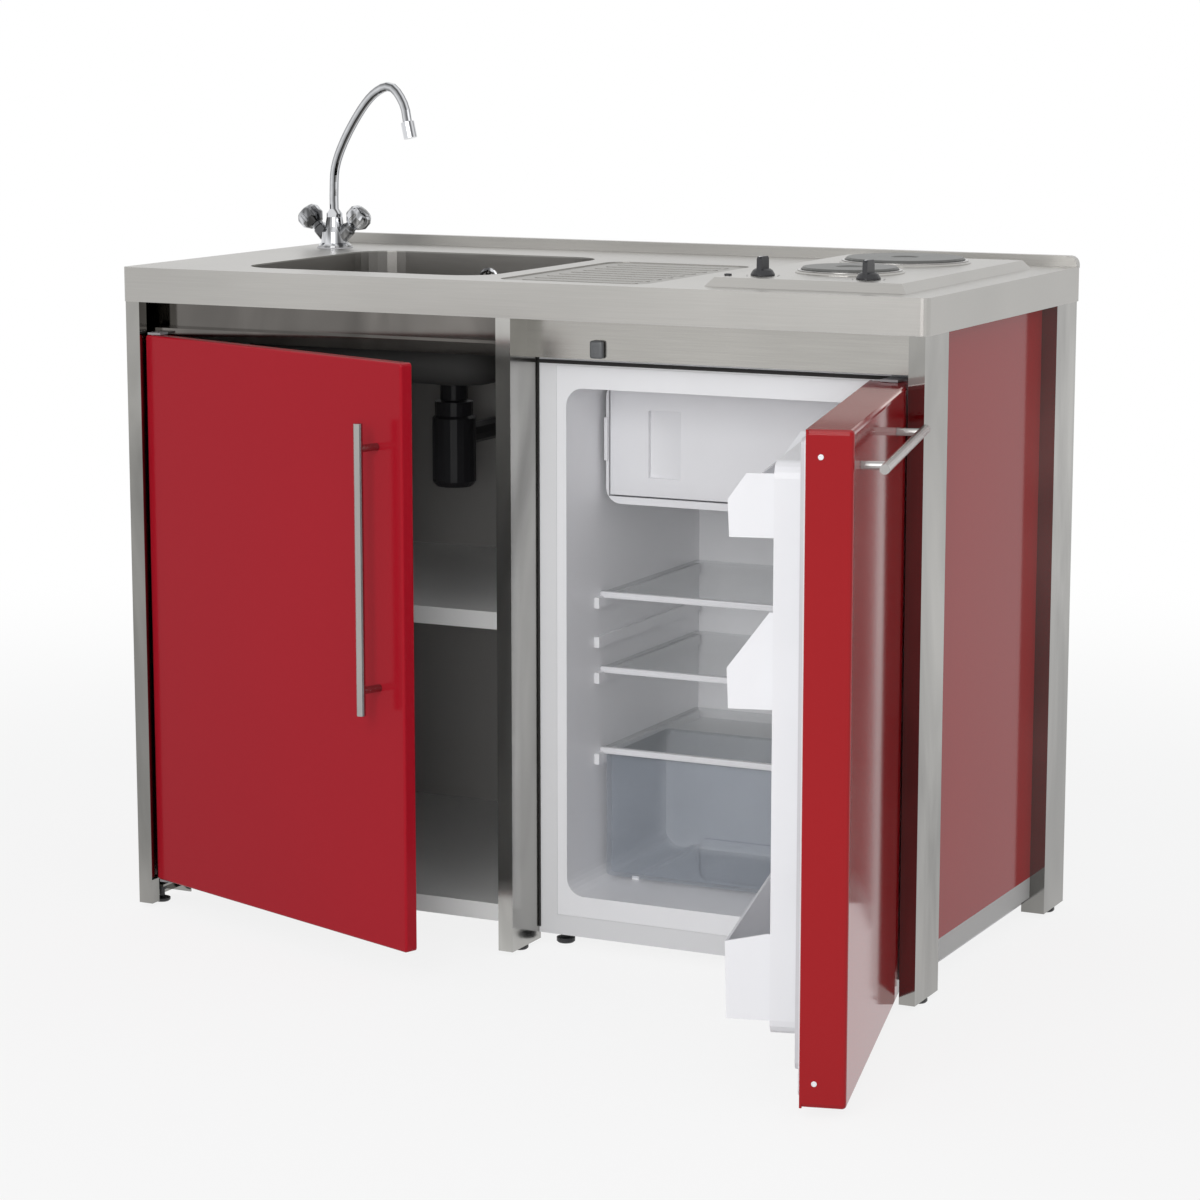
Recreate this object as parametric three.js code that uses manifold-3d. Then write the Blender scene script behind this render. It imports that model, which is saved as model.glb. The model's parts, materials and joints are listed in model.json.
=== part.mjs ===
// A free-standing kitchenette. Five folded steel posts carry a pressed worktop with a sink bowl, a
// drainer, a swivel tap and a two-plate hob. A cupboard fills the left bay and a fridge the right.
// Millimetres. X runs right, Y runs back and Z up; the front faces -Y. The origin is on the floor,
// under the foot of the front centre post.

import * as THREE from 'three';
import { mergeVertices } from 'three/addons/utils/BufferGeometryUtils.js';
import Module from 'manifold-3d';

const wasm = await Module();
wasm.setup();

// ---------------------------------------------------------------- driving dimensions

// Whole unit
const WIDTH = 1200;
const DEPTH = 600;
const HEIGHT = 920; // top of the worktop
const CLEARANCE = 0.3; // between two pieces that only just miss each other

// Posts and feet
const POST_INSET_X = 4; // outer face, in from the worktop's end
const POST_INSET_Y = 3;
const POST_FACE = 22;
const POST_WEB = 84;
const POST_LIP = 18;
const POST_FLANGE = 34; // inner flange of a corner post
const POST_SHEET = 1.5;
const POST_BOTTOM = 6;
const TAB_HEIGHT = 24; // underside of the tab that takes the foot
const TAB_SHEET = 3;
const FOOT_RADIUS = 12;
const FOOT_STUD = 4;

// Sides and fascias
const PANEL_INSET = 22; // outer face, in from the posts' outer face
const PANEL_SHEET = 2;
const RAIL_BOTTOM = 28;
const RAIL_HEIGHT = 30;
const FASCIA_SETBACK = 48; // behind the posts' front face
const FASCIA_SHEET = 2;
const FASCIA_HEIGHT = 55;
const LEFT_FASCIA_HEIGHT = 38;
const DOOR_STOP_HEIGHT = 16;
const DOOR_STOP_DEPTH = 19;

// Worktop
const APRON = 48;
const TOP_SHEET = 2;
const TOP_CORNER = 10;
const FRONT_LIP = 55;
const SIDE_LIP = 40;
const UPSTAND_HEIGHT = 15;
const UPSTAND_DEPTH = 14;
const UPSTAND_CORNER = 12;

// Sink and drainer
const BOWL_FROM_LEFT = 144;
const BOWL_FROM_FRONT = 70;
const BOWL_WIDTH = 390;
const BOWL_LENGTH = 385;
const BOWL_DEPTH = 150;
const BOWL_CORNER = 55;
const BOWL_FILLET = 32;
const BOWL_SHEET = 1.5;
const BOWL_FLANGE = 12;
const DRAIN_FROM_REAR = 110; // of the bowl
const DRAINER_FROM_BOWL = 36;
const DRAINER_FROM_FRONT = 35;
const DRAINER_WIDTH = 220;
const DRAINER_LENGTH = 365;
const DRAINER_DEPTH = 2;
const DRAINER_CORNER = 25;
const DRAINER_RIBS = 9;
const RIB_WIDTH = 14;
const RIB_RISE = 0.8;
const STRAINER_RADIUS = 42;
const STRAINER_CUP_RADIUS = 33;
const STRAINER_DEPTH = 30;
const TRAP_PIPE_RADIUS = 20;
const TRAP_BOTTLE_RADIUS = 32;
const TRAP_OUTLET_RADIUS = 16;
const TRAP_LENGTH = 150;
const TRAP_OUTLET_DROP = 78;

// Tap
const TAP_FROM_LEFT = 67;
const TAP_FROM_REAR = 128;
const TAP_BASE_RADIUS = 25;
const TAP_COLUMN_RADIUS = 12;
const TAP_COLUMN_HEIGHT = 46;
const VALVE_TILT = Math.PI / 4;
const VALVE_RADIUS = 9;
const VALVE_LENGTH = 36;
const VALVE_OUT = 6; // its foot, from the column's axis
const VALVE_UP = 10;
const SPOUT_RADIUS = 7;
const SPOUT_RISE = 195;
const SPOUT_REACH = 149;
const SPOUT_TURN = -12; // degrees from +X
const AERATOR_RADIUS = 10;
const AERATOR_LENGTH = 20;
const TAP_KNOB_RADIUS = 19;
const TAP_KNOB_LENGTH = 27;
const TAP_KNOB_FLUTES = 8;

// Hob
const HOB_FROM_RIGHT = 48;
const HOB_FROM_FRONT = 48;
const HOB_WIDTH = 280;
const HOB_LENGTH = 480;
const HOB_HEIGHT = 12;
const HOB_SLOPE = 10;
const HOB_SHEET = 1.5;
const HOB_OVERLAP = 15;
const HOB_BOX_DEPTH = 56;
const HOB_FLANGE = 9;
const LARGE_PLATE_RADIUS = 90;
const SMALL_PLATE_RADIUS = 72.5;
const LARGE_PLATE_FROM_REAR = 123;
const SMALL_PLATE_FROM_FRONT = 157;
const PLATE_HEIGHT = 8;
const PLATE_RIM = 8;
const HOB_KNOB_FROM_LEFT = 58;
const HOB_KNOB_FROM_FRONT = 57;
const HOB_KNOB_PITCH = 148;
const HOB_KNOB_RADIUS = 16;
const HOB_KNOB_HEIGHT = 25;
const HOB_KNOB_WING = 7;

// Cupboard
const CARCASS_SETBACK = 31; // its front edges, behind the posts' front face
const CARCASS_WALL = 16;
const CARCASS_SHEET = 2;
const CARCASS_BOTTOM = 38;
const CARCASS_FROM_REAR = 18;
const FLOOR_TRAY_HEIGHT = 24;
const SHELF_HEIGHT = 24;
const SHELF_UNDERSIDE = 437;
const SHELF_SETBACK = 41;
const CUPBOARD_DOOR_THICKNESS = 18;
const CUPBOARD_DOOR_STANDOFF = 6; // behind the door, in front of the carcass
const CUPBOARD_DOOR_BOTTOM = 41;
const CUPBOARD_DOOR_OVERLAP = 7; // over the stop under the fascia
const CUPBOARD_DOOR_GAP = 8; // between the door's free edge and the centre post
const CUPBOARD_DOOR_OVERHANG = 7; // past the bay, at the hinge edge
const CUPBOARD_HINGE_IN = 8; // pivot, in from the door's hinge edge
const CUPBOARD_DOOR_SHEET = 1.5;
const CUPBOARD_DOOR_HEM = 20;
const CUPBOARD_DOOR_EDGE = 3;
const CUPBOARD_DOOR_OPEN = 20; // degrees

// Fridge cabinet
const FRIDGE_SIDE_GAP = 0.3; // it stands snug between the posts
const FRIDGE_SETBACK = 79; // behind the posts' front face
const FRIDGE_DEPTH = 480;
const FRIDGE_BOTTOM = 16;
const FRIDGE_FROM_WORKTOP = 40; // under the apron's lower edge
const FRIDGE_SKIN = 2;
const FRIDGE_FRAME = 28;
const FRIDGE_WALL = 42.7;
const FRIDGE_FLOOR = 57;
const FRIDGE_ROOF = 58;
const FRIDGE_BACK = 47;
const LINER_SHEET = 3;
const LINER_CORNER = 25;
const BAY_DEPTH = 122; // machine bay at the lower rear
const BAY_HEIGHT = 190;
const BAY_INSULATION = 37; // between the machine bay and the liner
const REAR_FOOT_IN = 40;
const FRONT_FOOT_SETBACK = 22;
const FRONT_FOOT_FROM_LEFT = 30;
const FRONT_FOOT_FROM_RIGHT = 70;
const FOOT_PAD_RADIUS = 13;
const COMPRESSOR_RADIUS = 52;
const COMPRESSOR_HEIGHT = 140;
const CONDENSER_BARS = 8;
const CONDENSER_WIRES = 8;
const CONDENSER_BAR = 4;
const CONDENSER_WIRE = 2;
const CONDENSER_STANDOFF = 6;
const CONDENSER_FROM_SIDE = 40;
const CONDENSER_FROM_BAY = 14;
const CONDENSER_FROM_TOP = 50;
const CONDENSER_BLOCK = 10;

// Fridge fittings
const RUNNER_DEPTH = 7;
const RUNNER_HEIGHT = 15;
const RUNNER_FORWARD = 20; // in front of the shelves
const RUNNER_SHORT = 10; // of the liner's back
const SHELF_SHORT = 12;
const SHELF_GLASS = 5;
const FITTINGS_SETBACK = 106; // shelves and freezer flap, behind the cabinet's front
const UPPER_SHELF_TOP = 480;
const SPARE_RUNNER_TOP = 420;
const LOWER_SHELF_TOP = 374.5;
const CRISPER_COVER_TOP = 260;
const FREEZER_LEFT_GAP = 8;
const FREEZER_RIGHT_GAP = 8;
const FREEZER_HEIGHT = 168.7;
const FREEZER_WALL = 4;
const FREEZER_SILL = 10;
const FREEZER_DEPTH = 300;
const FLAP_THICKNESS = 10;
const FLAP_GAP = 2;
const FLAP_HINGE_IN = 5;
const FLAP_HINGE_BACK = 4;
const FLAP_PIN = 2.5;
const GRIP_LEFT = 60; // from the flap's free edge
const GRIP_WIDTH = 46;
const GRIP_HEIGHT = 90;
const GRIP_DEPTH = 6;
const CRISPER_WIDTH = 404;
const CRISPER_HEIGHT = 172;
const CRISPER_DEPTH = 200;
const CRISPER_WALL = 3;
const CRISPER_FRONT = 9;
const CRISPER_CORNER = 6;
const CRISPER_RUNNER = 5;
const CRISPER_RUNNER_IN = 40;
const CRISPER_RUNNER_WIDTH = 10;
const CRISPER_GRIP_WIDTH = 120;
const CRISPER_GRIP_HEIGHT = 58;
const CRISPER_GRIP_UP = 10;
const CRISPER_GRIP_CORNER = 10;

// Fridge door
const FRIDGE_HINGE_FORWARD = 37; // pivot, in front of the cabinet
const FRIDGE_HINGE_IN = 20; // pivot, in from the door's hinge edge
const FRIDGE_HINGE_BEHIND = 26; // pivot, behind the door's face
const FRIDGE_DOOR_MARGIN = 7.7; // in from the cabinet's sides
const FRIDGE_DOOR_THICKNESS = 55;
const FRIDGE_DOOR_BOTTOM = 12;
const FRIDGE_DOOR_FROM_TOP = 24; // under the cabinet's top
const FRIDGE_DOOR_SHEET = 1.5;
const FRIDGE_DOOR_EDGE = 5;
const FRIDGE_DOOR_OPEN = 104; // degrees
const INNER_SHEET = 3;
const INNER_MARGIN = 10;
const CASING_LIP = 6; // under the inner panel
const GASKET_WIDTH = 13;
const GASKET_THICKNESS = 4.4;
const GASKET_MARGIN = 8; // outside the fridge's opening
const DYKE_GAP = 10; // around the raised rim, inside the fridge's opening
const DYKE_HEIGHT = 40;
const DYKE_RIM = 12;
const DYKE_CORNER = 19;
const DYKE_HINGE_RIM = 25;
const WELL_CORNER = 3; // of the recess that holds the racks
const RACK_FRONT = 154; // behind the door's face
const RACK_WALL = 3;
const RACK_DRAFT = 2; // the front wall leans forward
const TOP_RACK = { drop: 25, height: 75, front: 44, shoulder: 132 };
const MIDDLE_RACK = { drop: 187, height: 115, front: 48, shoulder: 104 };
const BOTTOM_RACK = { height: 105, front: 94, shoulder: 104 };

// Handles and hinges
const HANDLE_RADIUS = 6;
const HANDLE_LENGTH = 386;
const HANDLE_PITCH = 320;
const HANDLE_REACH = 32; // bar's axis, in front of the door
const HANDLE_STUD = 5;
const CUPBOARD_HANDLE_FROM_EDGE = 49;
const CUPBOARD_HANDLE_FROM_TOP = 79;
const FRIDGE_HANDLE_FROM_HINGE = 126;
const FRIDGE_HANDLE_FROM_TOP = 46;
const HINGE_PIN = 4;
const HINGE_PIN_LENGTH = 12;
const HINGE_PLATE = 3;
const HINGE_GAP = 0.6;
const HINGE_PLATE_REACH = 12; // past the pivot, on each side
const HINGE_TAIL = 40; // under the fridge

// ---------------------------------------------------------------- shared places

const RIGHT = WIDTH / 2;
const LEFT = -RIGHT;
const REAR = DEPTH / 2;
const FRONT = -REAR;
const UNDER = HEIGHT - APRON;

const POST_OUTER = RIGHT - POST_INSET_X;
const POST_FRONT = FRONT + POST_INSET_Y;
const POST_BACK = POST_FRONT + POST_WEB;
const BAY_END = POST_OUTER - POST_FLANGE;
const CENTRE_RIGHT = POST_FACE / 2;
const CENTRE_LEFT = -CENTRE_RIGHT;
const PANEL_OUTER = POST_OUTER - PANEL_INSET;

const BOWL_X = [LEFT + BOWL_FROM_LEFT, LEFT + BOWL_FROM_LEFT + BOWL_WIDTH];
const BOWL_Y = [FRONT + BOWL_FROM_FRONT, FRONT + BOWL_FROM_FRONT + BOWL_LENGTH];
const BOWL_FLOOR = HEIGHT - BOWL_DEPTH;
const DRAIN_X = (BOWL_X[0] + BOWL_X[1]) / 2;
const DRAIN_Y = BOWL_Y[1] - DRAIN_FROM_REAR;
const DRAINER_X = [BOWL_X[1] + DRAINER_FROM_BOWL, BOWL_X[1] + DRAINER_FROM_BOWL + DRAINER_WIDTH];
const DRAINER_Y = [FRONT + DRAINER_FROM_FRONT, FRONT + DRAINER_FROM_FRONT + DRAINER_LENGTH];
const HOB_X = [RIGHT - HOB_FROM_RIGHT - HOB_WIDTH, RIGHT - HOB_FROM_RIGHT];
const HOB_Y = [FRONT + HOB_FROM_FRONT, FRONT + HOB_FROM_FRONT + HOB_LENGTH];
const HOB_TOP = HEIGHT + HOB_HEIGHT;
const HOB_CENTRE = (HOB_X[0] + HOB_X[1]) / 2;
const TAP_X = LEFT + TAP_FROM_LEFT;
const TAP_Y = REAR - TAP_FROM_REAR;

const FASCIA_FRONT = POST_FRONT + FASCIA_SETBACK;
const FRIDGE_TOP = UNDER - FRIDGE_FROM_WORKTOP;
const STOP_TOP = UNDER - LEFT_FASCIA_HEIGHT;
const STOP_BOTTOM = STOP_TOP - DOOR_STOP_HEIGHT;
const STOP_FRONT = FASCIA_FRONT - DOOR_STOP_DEPTH;
const CARCASS_FRONT = POST_FRONT + CARCASS_SETBACK;
const CARCASS_REAR = REAR - CARCASS_FROM_REAR;
const INSIDE_LEFT = CARCASS_WALL - BAY_END;
const INSIDE_RIGHT = CENTRE_LEFT - CARCASS_WALL;
const TRAP_OUTLET_Z = BOWL_FLOOR - STRAINER_DEPTH - TRAP_OUTLET_DROP;

const DOOR_X = [-BAY_END - CUPBOARD_DOOR_OVERHANG, CENTRE_LEFT - CUPBOARD_DOOR_GAP];
const DOOR_BACK = CARCASS_FRONT - CUPBOARD_DOOR_STANDOFF;
const DOOR_FRONT = DOOR_BACK - CUPBOARD_DOOR_THICKNESS;
const DOOR_Z = [CUPBOARD_DOOR_BOTTOM, STOP_BOTTOM + CUPBOARD_DOOR_OVERLAP];
const CUPBOARD_PIVOT = [DOOR_X[0] + CUPBOARD_HINGE_IN, (DOOR_FRONT + DOOR_BACK) / 2];

const FRIDGE_X = [CENTRE_RIGHT + FRIDGE_SIDE_GAP, BAY_END - FRIDGE_SIDE_GAP];
const FRIDGE_FRONT = POST_FRONT + FRIDGE_SETBACK;
const FRIDGE_REAR = FRIDGE_FRONT + FRIDGE_DEPTH;
const COLD_X = [FRIDGE_X[0] + FRIDGE_WALL, FRIDGE_X[1] - FRIDGE_WALL];
const COLD_Z = [FRIDGE_BOTTOM + FRIDGE_FLOOR, FRIDGE_TOP - FRIDGE_ROOF];
const COLD_REAR = FRIDGE_REAR - FRIDGE_BACK;
const BAY_FRONT = FRIDGE_REAR - BAY_DEPTH;
const BAY_TOP = FRIDGE_BOTTOM + BAY_HEIGHT;
const STEP_FRONT = BAY_FRONT - BAY_INSULATION; // step in the liner over the machine bay
const STEP_TOP = BAY_TOP + BAY_INSULATION;
const FITTINGS_FRONT = FRIDGE_FRONT + FITTINGS_SETBACK;

const FREEZER_X = [COLD_X[0] + FREEZER_LEFT_GAP, COLD_X[1] - FREEZER_RIGHT_GAP];
const FREEZER_Z = [COLD_Z[1] - CLEARANCE - FREEZER_HEIGHT, COLD_Z[1] - CLEARANCE];
const FREEZER_IN_X = [FREEZER_X[0] + FREEZER_WALL, FREEZER_X[1] - FREEZER_WALL];
const FREEZER_IN_Z = [FREEZER_Z[0] + FREEZER_SILL, FREEZER_Z[1] - FREEZER_SILL];
const FLAP_PIVOT = [FREEZER_IN_X[1] - FLAP_HINGE_IN - FLAP_GAP, FITTINGS_FRONT + FLAP_HINGE_BACK];
const FLAP_X = [FREEZER_IN_X[0] + FLAP_GAP, FLAP_PIVOT[0] + FLAP_HINGE_IN];
const FLAP_Z = [FREEZER_IN_Z[0] + FLAP_GAP, FREEZER_IN_Z[1] - FLAP_GAP];
const CRISPER_X = [COLD_X[0] + FREEZER_LEFT_GAP, COLD_X[0] + FREEZER_LEFT_GAP + CRISPER_WIDTH];
const CRISPER_Y = [FITTINGS_FRONT + FLAP_GAP, FITTINGS_FRONT + FLAP_GAP + CRISPER_DEPTH];
const CRISPER_Z = [COLD_Z[0] + CRISPER_RUNNER, COLD_Z[0] + CRISPER_RUNNER + CRISPER_HEIGHT];

const CASING_X = [FRIDGE_X[0] + FRIDGE_DOOR_MARGIN, FRIDGE_X[1] - FRIDGE_DOOR_MARGIN];
const FRIDGE_PIVOT = [CASING_X[1] - FRIDGE_HINGE_IN, FRIDGE_FRONT - FRIDGE_HINGE_FORWARD];
const CASING_FRONT = FRIDGE_PIVOT[1] - FRIDGE_HINGE_BEHIND;
const CASING_BACK = CASING_FRONT + FRIDGE_DOOR_THICKNESS;
const CASING_Z = [FRIDGE_DOOR_BOTTOM, FRIDGE_TOP - FRIDGE_DOOR_FROM_TOP];
const INNER_X = [CASING_X[0] + INNER_MARGIN, FRIDGE_PIVOT[0]];
const INNER_Z = [CASING_Z[0] + INNER_MARGIN, CASING_Z[1] - INNER_MARGIN];
const INNER_Y = [CASING_BACK + CLEARANCE, CASING_BACK + INNER_SHEET];
const DYKE_X = [COLD_X[0] + DYKE_GAP, COLD_X[1] - DYKE_GAP];
const DYKE_Z = [COLD_Z[0] + DYKE_GAP, COLD_Z[1] - DYKE_GAP];
const RACK_X = [DYKE_X[0] + DYKE_RIM, DYKE_X[1] - DYKE_HINGE_RIM];

// ---------------------------------------------------------------- solids

const CORNER_STEPS = 2;
const ROUND_STEPS = 12;

function solid(geometry) {
  geometry.deleteAttribute('normal');
  geometry.deleteAttribute('uv');
  const merged = mergeVertices(geometry, 1e-4);
  return new wasm.Manifold(
    new wasm.Mesh({
      numProp: 3,
      vertProperties: merged.attributes.position.array,
      triVerts: new Uint32Array(merged.index.array),
    }),
  );
}

const asSolid = (piece) => (piece.isBufferGeometry ? solid(piece) : piece);

function join(...pieces) {
  return pieces.map(asSolid).reduce((whole, piece) => whole.add(piece));
}

function cut(body, ...tools) {
  return tools.map(asSolid).reduce((rest, tool) => rest.subtract(tool), asSolid(body));
}

function mesh(name, body, material) {
  const { vertProperties, triVerts } = asSolid(body).getMesh();
  const geometry = new THREE.BufferGeometry();
  geometry.setAttribute('position', new THREE.BufferAttribute(vertProperties, 3));
  geometry.setIndex(new THREE.BufferAttribute(triVerts, 1));
  const piece = new THREE.Mesh(geometry, material);
  piece.name = name;
  return piece;
}

// A prism along one axis. Its outline is drawn in the other two, in the order x, y, z, and its ends
// lie exactly at from and to. An ease rounds both ends over.
function prism(outline, axis, [from, to], { ease = 0, steps = CORNER_STEPS } = {}) {
  const geometry = new THREE.ExtrudeGeometry(outline, {
    depth: to - from - 2 * ease,
    bevelEnabled: ease > 0,
    bevelThickness: ease,
    bevelSize: ease,
    bevelOffset: -ease,
    bevelSegments: 3,
    curveSegments: steps,
  });
  const place = geometry.attributes.position;
  const snap = (value) => {
    if (Math.abs(value - from) < 1e-3) return from;
    return Math.abs(value - to) < 1e-3 ? to : value;
  };
  for (let i = 0; i < place.count; i++) {
    const [a, b, c] = [place.getX(i), place.getY(i), place.getZ(i)];
    if (axis === 'x') place.setXYZ(i, snap(from + ease + c), a, b);
    else if (axis === 'y') place.setXYZ(i, a, snap(to - ease - c), b);
    else place.setXYZ(i, a, b, snap(from + ease + c));
  }
  return geometry;
}

function outlineOf(points) {
  return new THREE.Shape(points.map(([a, b]) => new THREE.Vector2(a, b)));
}

function rectangle([a0, a1], [b0, b1]) {
  return outlineOf([[a0, b0], [a1, b0], [a1, b1], [a0, b1]]);
}

function roundedRectangle([a0, a1], [b0, b1], radius) {
  const quarter = Math.PI / 2;
  return new THREE.Shape()
    .absarc(a1 - radius, b0 + radius, radius, -quarter, 0)
    .absarc(a1 - radius, b1 - radius, radius, 0, quarter)
    .absarc(a0 + radius, b1 - radius, radius, quarter, 2 * quarter)
    .absarc(a0 + radius, b0 + radius, radius, 2 * quarter, 3 * quarter);
}

function circle(a, b, radius) {
  return new THREE.Shape().absarc(a, b, radius, 0, 2 * Math.PI);
}

function box(xs, ys, zs) {
  return prism(rectangle(xs, ys), 'z', zs);
}

function rod(axis, [a, b], radius, ends, steps = 6) {
  return prism(circle(a, b, radius), axis, ends, { steps });
}

const grown = ([from, to], by) => [from - by, to + by];

// A solid of revolution about a vertical axis, from [radius, height] points.
function turned(points, sides = 24) {
  const profile = points.map(([radius, height]) => new THREE.Vector2(radius, height));
  return new THREE.LatheGeometry(profile, sides).rotateX(Math.PI / 2);
}

// The section of a sheet folded along a line of points. The sheet lies to the left of the line.
function folded(points, thickness) {
  const line = points.map(([a, b]) => new THREE.Vector2(a, b));
  const leftOf = (from, to) => {
    const along = to.clone().sub(from).normalize();
    return new THREE.Vector2(-along.y, along.x);
  };
  const inside = line.map((point, i) => {
    const before = i > 0 ? leftOf(line[i - 1], point) : leftOf(point, line[i + 1]);
    const after = i < line.length - 1 ? leftOf(point, line[i + 1]) : before;
    const mitre = before.clone().add(after);
    return point.clone().addScaledVector(mitre, (2 * thickness) / mitre.lengthSq());
  });
  return new THREE.Shape([...line, ...inside.reverse()]);
}

function mirrored(points) {
  return points.map(([a, b]) => [-a, b]).reverse();
}

// A door face pressed from sheet, its front edges rounded over and its back cut square. The same
// shape taken in by a sheet's thickness is the space behind it.
function pan(xs, [front, back], zs, ease, inset) {
  const round = ease - inset;
  const block = prism(
    roundedRectangle(grown(xs, -inset), grown(zs, -inset), round + 1),
    'y', [front + inset, back + ease], { ease: round, steps: 1 },
  );
  return cut(block, box(grown(xs, 1), [back, back + ease + 1], grown(zs, 1)));
}

// Pieces drawn in the closed place, turned about an upright hinge line.
function hinged([x, y], degrees, pieces) {
  const door = new THREE.Group();
  door.position.set(x, y, 0);
  door.rotation.z = THREE.MathUtils.degToRad(degrees);
  const closed = new THREE.Group();
  closed.position.set(-x, -y, 0);
  closed.add(...pieces);
  door.add(closed);
  return door;
}

// ---------------------------------------------------------------- materials

function material(color, roughness, metalness) {
  return new THREE.MeshStandardMaterial({ color, roughness, metalness, flatShading: true });
}

const polishedSteel = () => material(0xb4b2ac, 0.1, 1);
const brushedSteel = () => material(0xa9a6a0, 0.32, 1);
const chrome = () => material(0xc8c8c8, 0.08, 1);
const castIron = () => material(0x6e706c, 0.7, 1);
const zincSteel = () => material(0x8e9092, 0.45, 1);
const redGloss = () => material(0xa8222e, 0.12, 0);
const greySheet = () => material(0xb9b9b6, 0.4, 0);
const whiteEnamel = () => material(0xe9e9ea, 0.3, 0);
const whitePlastic = () => material(0xe4e4e8, 0.42, 0);
const clearPlastic = () => material(0xd8dce4, 0.2, 0);
const bluePlastic = () => material(0x8e98b0, 0.25, 0);
const glass = () => material(0xcfd6d8, 0.05, 0);
const softGrey = () => material(0xc4c4c6, 0.7, 0);
const blackPlastic = () => material(0x2a2a2e, 0.4, 0);
const blackSteel = () => material(0x1c1c1e, 0.5, 0);

// ---------------------------------------------------------------- frame

// Plan of the front right post: return lip, front face, outer web and inner flange.
function cornerPlan() {
  return [
    [POST_OUTER - POST_FACE, POST_FRONT + POST_LIP],
    [POST_OUTER - POST_FACE, POST_FRONT],
    [POST_OUTER, POST_FRONT],
    [POST_OUTER, POST_BACK],
    [BAY_END, POST_BACK],
  ];
}

// Plan of the front centre post, open to the cupboard.
function centrePlan() {
  return [
    [CENTRE_LEFT, POST_FRONT + POST_LIP],
    [CENTRE_LEFT, POST_FRONT],
    [CENTRE_RIGHT, POST_FRONT],
    [CENTRE_RIGHT, POST_BACK],
    [CENTRE_LEFT, POST_BACK],
  ];
}

const CORNER_FOOT = [POST_OUTER - POST_FACE / 2, (POST_FRONT + POST_BACK) / 2];
const CENTRE_FOOT = [0, (POST_FRONT + POST_BACK) / 2];

function post(name, plan, [x, y]) {
  const section = prism(folded(plan, POST_SHEET), 'z', [POST_BOTTOM, UNDER]);
  const half = POST_FACE / 2 - POST_SHEET / 2;
  const tabZ = [TAB_HEIGHT, TAB_HEIGHT + TAB_SHEET];
  const tab = box(grown([x, x], half), grown([y, y], FOOT_RADIUS), tabZ);
  return mesh(name, join(section, tab), polishedSteel());
}

function levellingFoot(name, [x, y]) {
  const profile = [
    [0, 0], [FOOT_RADIUS - 2, 0], [FOOT_RADIUS, 2], [FOOT_RADIUS, 5], [FOOT_STUD, 8],
    [FOOT_STUD, TAB_HEIGHT - 6], [FOOT_STUD + 3, TAB_HEIGHT - 6], [FOOT_STUD + 3, TAB_HEIGHT],
    [0, TAB_HEIGHT],
  ];
  const foot = mesh(name, turned(profile, 20), blackPlastic());
  foot.position.set(x, y, 0);
  return foot;
}

function frame() {
  const turnedRound = (points) => points.map(([x, y]) => [x, -y]).reverse();
  const [footX, footY] = CORNER_FOOT;
  const places = [
    ['front_left', mirrored(cornerPlan()), [-footX, footY]],
    ['front_centre', centrePlan(), CENTRE_FOOT],
    ['front_right', cornerPlan(), [footX, footY]],
    ['rear_left', turnedRound(mirrored(cornerPlan())), [-footX, -footY]],
    ['rear_right', turnedRound(cornerPlan()), [footX, -footY]],
  ];
  return places.flatMap(([place, plan, foot]) => [
    post(`post_${place}`, plan, foot),
    levellingFoot(`foot_${place}`, foot),
  ]);
}

function sides() {
  const run = [POST_BACK, -POST_BACK];
  const railTop = RAIL_BOTTOM + RAIL_HEIGHT;
  return [['left', -1], ['right', 1]].flatMap(([side, sign]) => {
    const across = (inner, outer) => (sign > 0 ? [inner, outer] : [-outer, -inner]);
    const rail = box(across(BAY_END, PANEL_OUTER), run, [RAIL_BOTTOM, railTop]);
    const channelX = across(BAY_END + POST_SHEET, PANEL_OUTER - POST_SHEET);
    const channel = box(channelX, run, [RAIL_BOTTOM - 1, railTop - POST_SHEET]);
    const panel = box(across(PANEL_OUTER - PANEL_SHEET, PANEL_OUTER), run, [railTop, UNDER]);
    return [
      mesh(`side_rail_${side}`, cut(rail, channel), greySheet()),
      mesh(`side_panel_${side}`, panel, redGloss()),
    ];
  });
}

function fascias() {
  const back = FASCIA_FRONT;
  const left = folded([
    [back, STOP_BOTTOM], [STOP_FRONT, STOP_BOTTOM], [STOP_FRONT, STOP_TOP], [back, STOP_TOP],
    [back, UNDER],
  ], -FASCIA_SHEET);
  const right = rectangle([back, back + FASCIA_SHEET], [UNDER - FASCIA_HEIGHT, UNDER]);
  return [
    mesh('fascia_left', prism(left, 'x', [-PANEL_OUTER, CENTRE_LEFT]), polishedSteel()),
    mesh('fascia_right', prism(right, 'x', [CENTRE_RIGHT, PANEL_OUTER]), polishedSteel()),
  ];
}

// ---------------------------------------------------------------- worktop

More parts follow.
